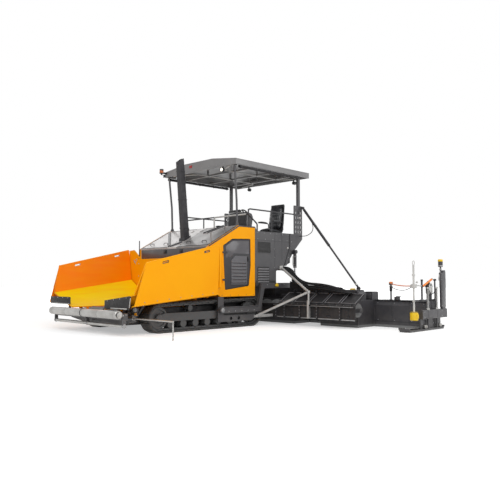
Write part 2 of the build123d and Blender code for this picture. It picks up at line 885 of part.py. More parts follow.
# Rubber flap at the front of each wing, clear of the rollers below it.
flap_low_z = roller_z + roller_r + sheet_t
with BuildPart() as wing_flap:
    cross_plate(
        (
            (wing_root_y + 15, flap_low_z), (wing_crease_y - 30, flap_low_z), (wing_crease_y, wing_crease_front_z - 26),
            (wing_crease_y - 16, wing_crease_front_z), (wing_root_y + 15, flap_low_z + 20),
        ),
        wing_front_x, wing_front_x + flap_t,
    )
save_pair(wing_flap.part, "wing_flap")

# Fixed rear wall of the hopper: horns beside the hood, clear of the tracks, open for the conveyors.
tunnel_low_z = wall_low_z - 20
with BuildPart() as rear_wall:
    cross_plate(
        (
            (-rear_wall_half, wall_corner_z), (-half_body, wall_over_track_z), (-frame_outer_y - 5, wall_over_track_z),
            (-frame_outer_y - 5, wall_low_z), (frame_outer_y + 5, wall_low_z), (frame_outer_y + 5, wall_over_track_z),
            (half_body, wall_over_track_z), (rear_wall_half, wall_corner_z), (rear_wall_half, horn_top_z),
            (rear_wall_half - 180, horn_top_z + 15), (horn_inner_y, wall_mid_z), (-horn_inner_y, wall_mid_z),
            (-rear_wall_half + 180, horn_top_z + 15), (-rear_wall_half, horn_top_z),
        ),
        frame_step_x, frame_step_x + rear_wall_t,
    )
    block(
        frame_step_x - cut_past, frame_step_x + rear_wall_t + cut_past, -tunnel_half, tunnel_half,
        tunnel_low_z, tunnel_top_z, mode=Mode.SUBTRACT,
    )
    marker_x = frame_step_x + rear_wall_t / 2
    rod((marker_x, marker_y, wall_mid_z), (marker_x, marker_y, marker_top_z), marker_r)
save(rear_wall.part, "hopper_rear_wall")

# Side bodies: bent skins with a door opening, a ledge under the lids and inner returns.
skin_profile = (
    (frame_step_x, hood_front_z), (frame_step_x, skin_front_low_z), (skin_chamfer_x, skin_low_z),
    (skin_rear_x, skin_low_z), (skin_rear_x, hood_top_z), (hood_rear_x, hood_top_z),
)
door_shape = (
    (door_front_x, door_high_z - 185), (door_front_x - 280, door_high_z - 25), (door_rear_x + 10, door_high_z),
    (door_rear_x, 1370), (door_rear_x + 60, door_low_z + 85), (door_front_x - 60, door_low_z),
)
door_hinge_x = door_front_x + 15
door_hinge_y = skin_outer_y + door_hinge_out
knuckle_zs = (door_low_z + 165, door_high_z - 400)
ledge_inner_y = skin_inner_y - return_w
with BuildPart() as side_bodies:
    side_plate(skin_profile, skin_inner_y, skin_outer_y)
    extrude(
        outline(door_shape, Plane.XZ.offset(-skin_outer_y - cut_past), door_corner_r),
        amount=skin_t + 2 * cut_past, mode=Mode.SUBTRACT,
    )
    side_plate(slope_strip(frame_step_x, hood_rear_x, -lid_t - fit_gap, lid_t + 20), ledge_inner_y, skin_inner_y + 5)
    side_plate(
        ((hood_rear_x, hood_top_z), (skin_rear_x, hood_top_z), (skin_rear_x, hood_top_z - 25), (hood_rear_x, hood_top_z - 46)),
        ledge_inner_y, skin_inner_y + 5,
    )
    block(skin_rear_x, skin_rear_x + 20, frame_outer_y + 10, skin_inner_y + 5, skin_low_z, hood_top_z - 26)
    block(skin_rear_x, skin_chamfer_x, frame_outer_y + 10, skin_inner_y + 5, skin_low_z, skin_low_z + 20)
    block(frame_step_x - 30, frame_step_x, ledge_inner_y, skin_inner_y + 5, skin_front_low_z, hood_front_z - 30)
    for knuckle_z in knuckle_zs:
        rod((door_hinge_x, door_hinge_y, knuckle_z), (door_hinge_x, door_hinge_y, knuckle_z + knuckle_len), hinge_pin_r)
        block(
            door_hinge_x - 7, door_hinge_x + 7, skin_outer_y - 5, door_hinge_y, knuckle_z, knuckle_z + knuckle_len,
        )
    mirror(about=Plane.XZ)
save(side_bodies.part, "side_bodies")

# Service door with its raised louvre panel, knuckles and latch.
panel_shape = (
    (panel_front_x, panel_low_z), (panel_front_x, panel_high_z - 100), (panel_front_x - 120, panel_high_z),
    (panel_rear_x, panel_high_z), (panel_rear_x, panel_low_z),
)
door_outer_y = skin_outer_y - door_inset
louvre_pitch = (panel_high_z - panel_low_z - 130) / louvre_count
with BuildPart() as service_door:
    with BuildSketch(Plane.XZ.offset(-door_outer_y)) as leaf:
        with BuildLine():
            Polyline(*door_shape, close=True)
        make_face()
        fillet(leaf.vertices(), door_corner_r)
        offset(amount=-door_gap, mode=Mode.REPLACE)
    extrude(leaf.sketch, amount=door_outer_y - skin_inner_y)
    side_plate(panel_shape, door_outer_y, door_outer_y + panel_raise)
    for louvre in range(louvre_count):
        slot_z = panel_low_z + louvre_margin + louvre_pitch * louvre
        block(
            panel_rear_x + louvre_margin, panel_front_x - louvre_margin, skin_inner_y - cut_past, door_outer_y + cut_past,
            slot_z, slot_z + louvre_h, mode=Mode.SUBTRACT,
        )
    for knuckle_z in knuckle_zs:
        high_z = knuckle_z + knuckle_len + fit_gap
        rod((door_hinge_x, door_hinge_y, high_z), (door_hinge_x, door_hinge_y, high_z + knuckle_len), hinge_pin_r)
        block(door_hinge_x - 145, door_hinge_x, door_hinge_y - 9, door_hinge_y - 1, high_z, high_z + knuckle_len)
        block(door_hinge_x - 145, door_hinge_x - 95, door_outer_y - 4, door_hinge_y - 5, high_z, high_z + knuckle_len)
    latch_x = door_rear_x + 30
    block(latch_x, latch_x + 70, door_outer_y - 4, door_outer_y + 22, 1480, 1580)
save_pair(service_door.part, "service_door")

# Hood: a fixed spine with the front face and the rear top, and a wide lid on each side.
lid_front_x = frame_step_x - 10
lid_rear_x = hood_rear_x + lid_end_gap
lid_outer_y = skin_inner_y - lid_side_gap
spine_half = lid_inner_y - spine_gap
lid_knuckles = ((0.12, 0.2), (0.8, 0.88))
with BuildPart() as hood_spine:
    side_plate(slope_strip(frame_step_x, hood_rear_x, 0, 35), -spine_half, spine_half)
    side_plate(
        ((hood_rear_x, hood_top_z), (skin_rear_x, hood_top_z), (skin_rear_x, hood_top_z - 25), (hood_rear_x, hood_top_z - 25)),
        -ledge_inner_y, ledge_inner_y,
    )
    block(
        frame_step_x - 30, frame_step_x, -ledge_inner_y, ledge_inner_y, front_face_low_z, hood_front_z - lid_t - 1,
    )
    for start, end in lid_knuckles:
        for side in (-1, 1):
            x0 = frame_step_x + (hood_rear_x - frame_step_x) * start
            x1 = frame_step_x + (hood_rear_x - frame_step_x) * end
            rod((x0, side * lid_inner_y, slope_z(x0) + 4), (x1, side * lid_inner_y, slope_z(x1) + 4), lid_hinge_r)
save(hood_spine.part, "hood_spine")

with BuildPart() as hood_lid:
    side_plate(slope_strip(lid_front_x, lid_rear_x, 0, lid_t), lid_inner_y, lid_outer_y)
    for start, end in lid_knuckles:
        x0 = frame_step_x + (hood_rear_x - frame_step_x) * (start - 0.005)
        x1 = frame_step_x + (hood_rear_x - frame_step_x) * (end + 0.005)
        rod(
            (x0, lid_inner_y, slope_z(x0) + 4), (x1, lid_inner_y, slope_z(x1) + 4), lid_hinge_r + 3, mode=Mode.SUBTRACT,
        )
save(mirror(hood_lid.part, about=Plane.XZ), "hood_lid_right")

# The left lid also carries a sloping tray on two posts.
with BuildPart() as tray_lid:
    add(hood_lid.part)
    side_plate(
        (
            (tray_front_x, tray_front_z), (tray_rear_x, tray_rear_z),
            (tray_rear_x, tray_rear_z + sheet_t), (tray_front_x, tray_front_z + sheet_t),
        ),
        tray_inner_y, tray_inner_y + tray_w,
    )
    for post_at in (tray_rear_x + 30, tray_front_x - 160):
        share = (tray_front_x - post_at) / (tray_front_x - tray_rear_x)
        tray_z = tray_front_z + (tray_rear_z - tray_front_z) * share
        rod((post_at, tray_inner_y + tray_w / 2, slope_z(post_at) - 5), (post_at, tray_inner_y + tray_w / 2, tray_z + 4), tray_post_r)
save(tray_lid.part, "hood_lid_left")

# Exhaust stack: a lofted rectangular duct that leans forward, with its outlet and base collar.
stack_mid_x = (stack_front_x + stack_rear_x) / 2
stack_base_z = slope_z(stack_mid_x)
with BuildPart() as exhaust:
    side_plate(
        (
            (stack_rear_x, slope_z(stack_rear_x)), (stack_front_x, slope_z(stack_front_x)),
            (stack_top_x + stack_top_len / 2, stack_top_z - stack_cut_drop), (stack_top_x - stack_top_len / 2, stack_top_z),
        ),
        -stack_half, stack_half,
    )
    fillet(exhaust.edges().filter_by(lambda edge: edge.length > stack_top_z - stack_base_z - 200), 16)
    side_plate(
        (
            (stack_rear_x - collar_margin, slope_z(stack_rear_x - collar_margin)),
            (stack_front_x + collar_margin, slope_z(stack_front_x + collar_margin)),
            (stack_front_x + 15, slope_z(stack_front_x) + collar_h), (stack_rear_x + 15, slope_z(stack_rear_x) + collar_h - 30),
        ),
        -stack_half - 30, stack_half + 30,
    )
    block(
        stack_top_x - stack_top_len / 2 + stack_wall, stack_top_x + stack_top_len / 2 - stack_wall - 4,
        -stack_half + stack_wall, stack_half - stack_wall, stack_top_z - 2.5 * stack_cut_drop, stack_top_z + cut_past,
        mode=Mode.SUBTRACT,
    )
save(exhaust.part, "exhaust_stack")

with BuildPart() as engine:
    block(engine_rear_x, engine_front_x, -engine_half, engine_half, frame_deck_z, frame_deck_z + engine_h)
save(engine.part, "engine_block")

# Operator platform: a hollow housing with louvres and recesses, side walls and a rear step.
with BuildPart() as platform:
    side_plate(
        (
            (platform_front_x, platform_low_z), (platform_cut_x, platform_low_z), (platform_cut_x, platform_cut_low_z),
            (platform_rear_x, platform_cut_high_z), (platform_rear_x, floor_z), (platform_front_x, floor_z),
        ),
        -half_body, half_body,
    )
    side_plate(
        (
            (platform_front_x - platform_wall, platform_low_z + platform_wall),
            (platform_cut_x + platform_wall, platform_low_z + platform_wall),
            (platform_cut_x + platform_wall, platform_cut_low_z + platform_wall),
            (platform_rear_x + platform_wall, platform_cut_high_z + platform_wall),
            (platform_rear_x + platform_wall, floor_z - platform_wall),
            (platform_front_x - platform_wall, floor_z - platform_wall),
        ),
        -half_body + platform_wall, half_body - platform_wall, mode=Mode.SUBTRACT,
    )
    block(auger_x - 80, platform_front_x, -frame_outer_y, frame_outer_y, frame_deck_z, platform_low_z)
    for side in (-1, 1):
        outer_y = side * half_body
        side_plate(
            (
                (platform_rear_x, floor_z - platform_wall), (platform_front_x, floor_z - platform_wall),
                (platform_front_x, front_wall_top_z), (platform_front_x - 25, front_wall_top_z),
                (platform_front_x - 85, side_wall_top_z), (platform_rear_x, side_wall_top_z),
            ),
            outer_y - side * side_wall_t, outer_y,
        )
        block(
            recess_rear_x, recess_front_x, outer_y - side * 10, outer_y + side * cut_past,
            floor_z - 200, floor_z - 110, mode=Mode.SUBTRACT,
        )
        for louvre in range(5):
            low_z = platform_low_z + 60 + 60 * louvre
            block(
                recess_rear_x - 80, recess_front_x, outer_y - side * 12, outer_y + side * cut_past,
                low_z, low_z + 25, mode=Mode.SUBTRACT,
            )
    block(
        platform_front_x - side_wall_t, platform_front_x, -half_body + side_wall_t, half_body - side_wall_t,
        floor_z - platform_wall, front_wall_top_z,
    )
    side_plate(
        (
            (platform_rear_x, floor_z), (platform_rear_x - step_len, floor_z), (platform_rear_x - step_len, floor_z - 20),
            (platform_rear_x, floor_z - 90),
        ),
        -frame_outer_y - 20, frame_outer_y + 20,
    )
save(platform.part, "platform")

# Rear corner frames: grated plates with rounded corners that carry the posts, rams and stays.
post_inner_y = half_body - rear_post_w
with BuildPart() as rear_frames:
    side_plate(
        (
            (corner_front_x, corner_top_z), (corner_rear_x, corner_top_z), (corner_rear_x, corner_knee_z),
            (corner_front_x + 20, corner_knee_z - 320), (platform_rear_x + 160, corner_foot_z),
            (platform_rear_x + 220, corner_foot_z), (platform_rear_x, floor_z), (corner_front_x, side_wall_top_z),
        ),
        half_body, corner_outer_y, radius=24,
    )
    block(corner_front_x - 40, platform_rear_x + 10, half_body, corner_outer_y, floor_z - 20, side_wall_top_z)
    block(lift_x - 50, platform_rear_x + 10, half_body, lift_bracket_y, lift_pin_z - 60, lift_pin_z + 60)
    rod((lift_x, corner_outer_y, lift_pin_z), (lift_x, lift_y + 55, lift_pin_z), 20)
    block(stay_x + 22, stay_x + 34, corner_outer_y - 10, stay_pin_y + 25, stay_pin_z - 35, stay_pin_z + 35)
    rod((stay_x - 22, stay_pin_y, stay_pin_z), (stay_x + 30, stay_pin_y, stay_pin_z), 12)
    for row in range(5):
        for column in range(3):
            with Locations((
                corner_front_x - 80 - grate_pitch_x * column, half_body + corner_t / 2, corner_knee_z + 180 + grate_pitch_z * row,
            )):
                Box(grate_len, corner_t + cut_past, grate_h, mode=Mode.SUBTRACT)
    mirror(about=Plane.XZ)
save(rear_frames.part, "rear_frames")

# Canopy posts: bent tubes in front on gusseted feet, box posts behind on the corner frames.
with BuildPart() as posts:
    bent_rail(
        (
            (post_x, post_half, hood_top_z + 5), (post_x + 20, post_half, post_knee_z),
            (post_top_x, post_half + 20, canopy_low_z + 15),
        ),
        post_r, 300,
    )
    side_plate(
        (
            (post_x + 60, hood_top_z), (post_x + 12, hood_top_z + 110), (post_x - 12, hood_top_z + 110),
            (post_x - 60, hood_top_z),
        ),
        post_half - 8, post_half + 8,
    )
    block(post_x - 60, post_x + 29, post_half - 40, post_half + 22, hood_top_z, hood_top_z + 14)
    block(
        post_top_x - 35, canopy_front_x - canopy_t, post_half - 15, post_half + 55, canopy_low_z, canopy_tube_low_z,
    )
    block(
        rear_post_x - rear_post_len / 2, rear_post_x + rear_post_len / 2, post_inner_y, half_body,
        corner_top_z - 220, canopy_tube_low_z,
    )
    mirror(about=Plane.XZ)
save(posts.part, "canopy_posts")

# Canopy: a folded roof like a shallow tray upside down, with cross tubes and long tubes under it.
roof_shape = (
    (-canopy_half, canopy_low_z), (-canopy_half, canopy_low_z + canopy_side_h), (-canopy_peak_half, canopy_low_z + canopy_peak_h),
    (canopy_peak_half, canopy_low_z + canopy_peak_h), (canopy_half, canopy_low_z + canopy_side_h), (canopy_half, canopy_low_z),
)
tube_high_z = canopy_tube_low_z + canopy_tube
inner_half = canopy_half - canopy_t
cross_tube_xs = (
    canopy_rear_x + canopy_t, rear_post_x - canopy_tube / 2, -1500.0, -700.0,
    canopy_front_x - canopy_t - canopy_tube,
)
with BuildPart() as canopy:
    cross_plate(roof_shape, canopy_rear_x, canopy_front_x)
    with BuildSketch(Plane.YZ.offset(canopy_rear_x + canopy_t)) as hollow:
        with BuildLine():
            Polyline(*roof_shape, close=True)
        make_face()
        offset(amount=-canopy_t, kind=Kind.INTERSECTION, mode=Mode.REPLACE)
        with Locations((0, canopy_low_z + canopy_t)):
            Rectangle(2 * inner_half, 2 * canopy_t + 2)
    extrude(hollow.sketch, amount=canopy_front_x - canopy_rear_x - 2 * canopy_t, mode=Mode.SUBTRACT)
    for tube_x in cross_tube_xs:
        block(tube_x, tube_x + canopy_tube, -inner_half, inner_half, canopy_tube_low_z, tube_high_z)
        for side in (-1, 1):
            block(
                tube_x, tube_x + canopy_tube, side * (canopy_peak_half - 30), side * canopy_peak_half,
                tube_high_z, canopy_low_z + canopy_peak_h - canopy_t,
            )
save(canopy.part, "canopy")

# Rolled side curtains under the long edges of the roof.
with BuildPart() as curtains:
    curtain_y = canopy_half - canopy_t / 2
    curtain_z = canopy_low_z - curtain_r - fit_gap
    rod((curtain_rear_x, curtain_y, curtain_z), (curtain_front_x, curtain_y, curtain_z), curtain_r)
    mirror(about=Plane.XZ)
save(curtains.part, "curtain_rolls")

# Work lamps under the roof and the round beacon at its front corner.
LampPlace = namedtuple("LampPlace", "x y facing")
lamp_places = (
    LampPlace(cross_tube_xs[4] + canopy_tube / 2, 820.0, 1),
    LampPlace(cross_tube_xs[4] + canopy_tube / 2, -820.0, 1),
    LampPlace(cross_tube_xs[0] + canopy_tube / 2, 820.0, -1),
    LampPlace(cross_tube_xs[0] + canopy_tube / 2, -820.0, -1),
)
beacon_x = canopy_front_x + 70
beacon_y = -canopy_half - 60
with BuildPart() as lamps:
    for lamp in lamp_places:
        lamp_z = canopy_tube_low_z - lamp_drop
        block(lamp.x - 12, lamp.x + 12, lamp.y - 15, lamp.y + 15, lamp_z, canopy_tube_low_z)
        rod((lamp.x - lamp.facing * 12, lamp.y, lamp_z), (lamp.x + lamp.facing * (lamp_len - 12), lamp.y, lamp_z), lamp_r)
    beacon_low_z = canopy_low_z + canopy_side_h - 10
    block(beacon_x - 20, beacon_x + 20, beacon_y - 20, -canopy_half + 80, beacon_low_z - 15, beacon_low_z)
    block(canopy_front_x, beacon_x + 20, -canopy_half, -canopy_half + 80, beacon_low_z - 30, beacon_low_z)
    rod((beacon_x, beacon_y, beacon_low_z - 2), (beacon_x, beacon_y, beacon_low_z + beacon_h), beacon_r)
save(lamps.part, "work_lamps")

# Handrails: bent side rails, the front cross rail and the rail that the console slides on.
rail_y = half_body - rail_r - fit_gap
rail_foot_x = platform_front_x - 110
rail_nose_x = platform_front_x + 185
with BuildPart() as handrails:
    for side in (-1, 1):
        bent_rail(
            (
                (corner_front_x - 60, side * rail_y, top_rail_z), (rail_nose_x, side * rail_y, top_rail_z),
                (rail_nose_x, side * rail_y, top_rail_z - 130), (rail_foot_x, side * rail_y, top_rail_z - 330),
                (rail_foot_x, side * rail_y, side_wall_top_z),
            ),
            rail_r, rail_bend_r,
        )
        rod((platform_front_x - 615, side * rail_y, side_wall_top_z), (platform_front_x - 615, side * rail_y, top_rail_z), rail_r)
        block(
            console_rail_x - 30, console_rail_x + 30, side * 1090, side * 1120, floor_z, console_rail_z + 35,
        )
    bent_rail(
        (
            (front_rail_x, -post_half, hood_top_z), (front_rail_x, -post_half, front_rail_z),
            (front_rail_x, post_half, front_rail_z), (front_rail_x, post_half, hood_top_z),
        ),
        rail_r, rail_bend_r,
    )
    rod((console_rail_x, -1100, console_rail_z), (console_rail_x, 1100, console_rail_z), console_rail_r)
save(handrails.part, "handrails")

# Operator seats: curved cushions, arm rests and swivel pedestals.
seat_inner_y = seat_mid_y - seat_w / 2
seat_outer_y = seat_mid_y + seat_w / 2
seat_top_z = seat_low_z + seat_t
with BuildPart() as seats:
    side_plate(
        (
            (seat_front_x, seat_low_z), (seat_front_x, seat_top_z + 10), (seat_rear_x + 80, seat_top_z),
            (seat_rear_x + 10, seat_top_z + seat_back_h), (seat_rear_x - 100, seat_top_z + seat_back_h - 10),
            (seat_rear_x - 40, seat_low_z),
        ),
        seat_inner_y, seat_outer_y, radius=seat_bend_r,
    )
    for arm_y in (seat_inner_y - arm_rest_w, seat_outer_y):
        side_plate(
            (
                (seat_front_x - 30, seat_top_z + 170), (seat_front_x - 30, seat_top_z + 212), (seat_rear_x + 10, seat_top_z + 212),
                (seat_rear_x + 10, seat_low_z + 40), (seat_rear_x + 60, seat_low_z + 40), (seat_rear_x + 60, seat_top_z + 170),
            ),
            arm_y, arm_y + arm_rest_w,
        )
    seat_mid_x = (seat_front_x + seat_rear_x) / 2
    block(seat_mid_x - 150, seat_mid_x + 150, seat_mid_y - 150, seat_mid_y + 150, floor_z, floor_z + 30)
    rod((seat_mid_x, seat_mid_y, floor_z), (seat_mid_x, seat_mid_y, seat_low_z + 10), pedestal_r)
    mirror(about=Plane.XZ)
save(seats.part, "seats")

# Operator console that slides on its cross rail, with a tilted steering dial.
console_inner_y = console_mid_y - console_w / 2
console_outer_y = console_mid_y + console_w / 2
console_base_z = console_rail_z + 50
with BuildPart() as console:
    side_plate(
        (
            (console_rail_x + 70, console_base_z), (console_rail_x - 70, console_base_z), (console_rail_x - 140, console_base_z + 360),
            (console_rail_x - 100, console_base_z + 440), (console_rail_x + 60, console_base_z + 480),
            (console_rail_x + 100, console_base_z + 200),
        ),
        console_inner_y, console_outer_y, radius=20,
    )
    for foot_y in (console_inner_y + 50, console_outer_y - 120):
        block(console_rail_x - 40, console_rail_x + 40, foot_y, foot_y + 70, console_rail_z - 40, console_base_z + 10)
    rod(
        (console_rail_x, console_inner_y - cut_past, console_rail_z), (console_rail_x, console_outer_y + cut_past, console_rail_z),
        console_rail_r + fit_gap, mode=Mode.SUBTRACT,
    )
    dial_x = console_rail_x - 145
    dial_z = console_base_z + 490
    rod((dial_x + 75, console_mid_y, dial_z - 100), (dial_x + 5, console_mid_y, dial_z - 10), 18)
    with Locations(Plane(origin=(dial_x, console_mid_y, dial_z), z_dir=(-wheel_tilt, 0, wheel_tilt))):
        Cylinder(dial_r, 24)
        Cylinder(dial_r - 20, 24, mode=Mode.SUBTRACT)
        Cylinder(26, 24)
        Box(2 * dial_r - 20, 24, 14)
save(console.part, "operator_console")

# Tow arms: rounded plates cranked over the auger, with the lugs of the lift cylinders.
arm_upper_low_z = arm_high_z - arm_upper_h
lug_outer_y = lift_y - lift_rod_r - 3
crank_x = -640.0
with BuildPart() as tow_arms:
    side_plate(
        (
            (tow_x + 70, arm_low_z), (tow_x + 70, arm_low_z + arm_deep), (crank_x, arm_low_z + arm_deep),
            (crank_x - 120, arm_high_z), (screed_front_x - 340, arm_high_z), (arm_foot_x, arm_high_z - 185),
            (arm_foot_x, screed_top_z), (screed_front_x - 110, screed_top_z), (screed_front_x - 110, arm_upper_low_z),
            (crank_x - 210, arm_upper_low_z), (crank_x - 80, arm_low_z),
        ),
        arm_inner_y, arm_outer_y, radius=arm_corner_r,
    )
    rod((tow_x, arm_inner_y - cut_past, tow_z), (tow_x, arm_outer_y + cut_past, tow_z), tow_pin_r + fit_gap, mode=Mode.SUBTRACT)
    side_plate(
        (
            (lift_x - 60, arm_high_z - 20), (lift_x - 50, lift_eye_z + 50), (lift_x + 50, lift_eye_z + 50),
            (lift_x + 60, arm_high_z - 20),
        ),
        arm_inner_y, lug_outer_y,
    )
    mirror(about=Plane.XZ)
save(tow_arms.part, "tow_arms")


def screed_body(front_x, rear_x, top_z, y0, y1, wall):
    """Add a hollow screed beam with a sloped upper front edge."""
    side_plate(
        (
            (rear_x, sole_t), (front_x, sole_t), (front_x, top_z - screed_slope),
            (front_x - screed_slope * 0.6, top_z), (rear_x, top_z),
        ),
        y0, y1,
    )
    side_plate(
        (
            (rear_x + wall, sole_t + wall), (front_x - wall, sole_t + wall),
            (front_x - wall, top_z - screed_slope - wall / 2), (front_x - screed_slope * 0.6 - wall / 2, top_z - wall),
            (rear_x + wall, top_z - wall),
        ),
        y0 + wall, y1 - wall, mode=Mode.SUBTRACT,
    )


# Centre section of the screed with its deck and the rear walkway.
with BuildPart() as main_screed:
    screed_body(screed_front_x, main_rear_x, screed_top_z, -main_half, main_half, screed_wall)
    for side in (-1, 1):
        for tube_x in (tube_front_x, tube_rear_x):
            rod(
                (tube_x, side * (main_half - screed_wall - cut_past), tube_z), (tube_x, side * (main_half + cut_past), tube_z),
                tube_r + tube_hole_gap, mode=Mode.SUBTRACT,
            )
    block(main_rear_x, tube_front_x, -900, 900, screed_top_z, screed_top_z + 40)
    block(walkway_rear_x, main_rear_x, -main_half + 90, main_half - 90, screed_top_z + 20, screed_top_z + 20 + walkway_t)
    block(main_rear_x - 30, main_rear_x, -main_half + 90, main_half - 90, ext_beam_top_z + 20, screed_top_z + 40)
save(main_screed.part, "main_screed")

with BuildPart() as main_sole:
    block(main_rear_x, screed_front_x, -main_half, main_half, 0, sole_t)
save(main_sole.part, "main_screed_sole")

# Screed extension: rear beam behind the centre section, full-depth box and bolted widening box.
beam_front_x = main_rear_x - ext_beam_gap
stay_lug_x = stay_x + 24
with BuildPart() as extension:
    screed_body(screed_front_x, ext_rear_x, screed_top_z, ext_front_y, ext_mid_y, screed_wall)
    screed_body(wide_front_x, wide_rear_x, screed_top_z, ext_mid_y, ext_end_y, screed_wall)
    block(ext_rear_x, beam_front_x, ext_beam_inner_y, ext_front_y, sole_t, ext_beam_top_z)
    block(
        ext_rear_x + screed_wall, beam_front_x - screed_wall, ext_beam_inner_y + screed_wall, ext_front_y,
        sole_t + screed_wall, ext_beam_top_z - screed_wall, mode=Mode.SUBTRACT,
    )
    for tube_x in (tube_front_x, tube_rear_x):
        rod((tube_x, ext_beam_inner_y - 50, tube_z), (tube_x, ext_front_y + 5, tube_z), tube_r)
    block(tube_rear_x - 50, tube_front_x + 60, ext_front_y + 80, ext_front_y + 430, screed_top_z, screed_top_z + 60)
    cross_plate(
        (
            (ext_mid_y - 550, screed_top_z - 5), (ext_mid_y - 50, screed_top_z - 5), (ext_mid_y - 50, screed_top_z + 150),
            (ext_mid_y - 110, screed_top_z + 220), (ext_mid_y - 490, screed_top_z + 220), (ext_mid_y - 550, screed_top_z + 150),
        ),
        tube_rear_x, tube_front_x + 50,
    )
    block(stay_x - 310, stay_x - 50, ext_mid_y - 220, ext_mid_y - 10, screed_top_z, screed_top_z + 180)
    knob_x = (wide_front_x + wide_rear_x) / 2
    rod((knob_x, knob_post_y, screed_top_z - 5), (knob_x, knob_post_y, screed_top_z + knob_post_h), station_post_r)
    rod(
        (knob_x, knob_post_y, screed_top_z + knob_post_h - 60), (knob_x, knob_post_y, screed_top_z + knob_post_h),
        2 * station_post_r,
    )
    cross_plate(
        (
            (stay_foot_y - 80, screed_top_z - 10), (stay_foot_y + 80, screed_top_z - 10), (stay_foot_y + 40, stay_foot_z + 40),
            (stay_foot_y - 40, stay_foot_z + 40),
        ),
        stay_lug_x, stay_lug_x + sheet_t,
    )
save_pair(extension.part, "screed_extension")

with BuildPart() as ext_sole:
    block(ext_rear_x, beam_front_x, ext_beam_inner_y, ext_front_y, 0, sole_t)
    block(ext_rear_x, screed_front_x, ext_front_y, ext_mid_y, 0, sole_t)
    block(wide_rear_x, wide_front_x, ext_mid_y, ext_end_y, 0, sole_t)
save_pair(ext_sole.part, "extension_sole")

# End gate: a beam over a ski turned up at both ends, spindles and the bevelled adjusting column.
gate_inner_y = ext_end_y + gate_gap
gate_outer_y = gate_inner_y + gate_t
ski_outer_y = gate_inner_y + ski_w
spindle_y = gate_outer_y + 34
column_front_x = column_x + column_w / 2
column_rear_x = column_x - column_w / 2
handle_y = (gate_outer_y + ski_outer_y) / 2
with BuildPart() as end_gate:
    block(ski_rear_x + 60, gate_front_x, gate_inner_y, gate_outer_y, gate_lift, gate_high_z)
    block(gate_rear_x, gate_front_x, gate_inner_y, gate_inner_y + gate_beam_w, gate_low_z, gate_high_z)
    for guide_at in (wide_rear_x + 100, wide_front_x - 110):
        block(guide_at, guide_at + 80, ext_end_y + fit_gap, gate_inner_y + 4, gate_lift + 100, gate_high_z)
    side_plate(
        (
            (ski_front_x, ski_rise), (ski_front_x - 60, 0), (ski_rear_x + 60, 0), (ski_rear_x, ski_rise),
            (ski_rear_x, ski_rise + 30), (ski_rear_x + 60, ski_t), (ski_front_x - 60, ski_t), (ski_front_x, ski_rise + 30),
        ),
        gate_inner_y, ski_outer_y, radius=10,
    )
    side_plate(
        (
            (ski_front_x, ski_rise), (ski_front_x - 60, 0), (wide_front_x + shoe_gap_x, 0),
            (wide_front_x + shoe_gap_x, ski_t), (ski_front_x - 60, ski_t), (ski_front_x, ski_rise + 30),
        ),
        shoe_inner_y, gate_inner_y + 5,
    )
    side_plate(
        (
            (column_front_x, gate_high_z - 10), (column_front_x, column_top_z - column_bevel),
            (column_x, column_top_z), (column_rear_x, column_top_z), (column_rear_x, gate_high_z - 10),
        ),
        gate_outer_y + 4, ski_outer_y,
    )
    bent_rail(
        (
            (column_rear_x + 5, handle_y, handle_high_z), (column_rear_x - handle_out, handle_y, handle_high_z),
            (column_rear_x - handle_out, handle_y, handle_low_z), (column_rear_x + 5, handle_y, handle_low_z),
        ),
        spindle_r / 2, spindle_r,
    )
    rod((cylinder_x, gate_outer_y + 10, column_top_z - column_bevel), (cylinder_x, gate_outer_y + 10, cylinder_low_z + 5), 18)
    rod((cylinder_x, gate_outer_y + 10, cylinder_low_z), (cylinder_x, gate_outer_y + 10, cylinder_high_z), cylinder_r)
    for spindle_x in (gate_rear_x + 460, gate_rear_x + 860):
        rod((spindle_x, spindle_y, ski_t - 5), (spindle_x, spindle_y, spindle_top_z), spindle_r)
save_pair(end_gate.part, "end_gate")

# Side station on a rail over the widening box: sensor mast, grip bar, control box and pole.
station_top_z = screed_top_z + station_rail_h
with BuildPart() as station:
    block(
        wide_rear_x + 10, sensor_mast_x + sensor_mast_r, station_y - station_rail_w / 2, station_y + station_rail_w / 2,
        screed_top_z, station_top_z,
    )
    rod((sensor_mast_x, station_y, sensor_puck_high_z - 10), (sensor_mast_x, station_y, sensor_mast_top_z), sensor_mast_r)
    rod((sensor_mast_x, station_y, sensor_puck_low_z), (sensor_mast_x, station_y, sensor_puck_high_z), sensor_puck_r)
    rod((grip_post_x, station_y, station_top_z - 10), (grip_post_x, station_y, grip_post_top_z), station_post_r)
    rod((grip_post_x, station_y, grip_low_z), (grip_rear_x, station_y, grip_high_z), grip_r)
    block(
        box_post_x - box_post_w / 2, box_post_x + box_post_w / 2, station_y - 38, station_y + 38,
        station_top_z - 10, box_low_z,
    )
    side_plate(
        (
            (box_post_x + box_w / 2, box_low_z - 10), (box_post_x - box_w / 2, box_low_z - 10),
            (box_post_x - box_w / 2, box_high_z - 50), (box_post_x - box_w / 2 + 50, box_high_z),
            (box_post_x + box_w / 2 - 50, box_high_z), (box_post_x + box_w / 2, box_high_z - 50),
        ),
        station_y - 38, station_y + 38,
    )
    block(box_post_x - 15, box_post_x + 15, station_y - 15, station_y + 15, box_high_z - 10, grip_high_z - 45)
    rod((pole_x, station_y, station_top_z - 10), (pole_x, station_y, pole_top_z), pole_r)
save_pair(station.part, "side_station")

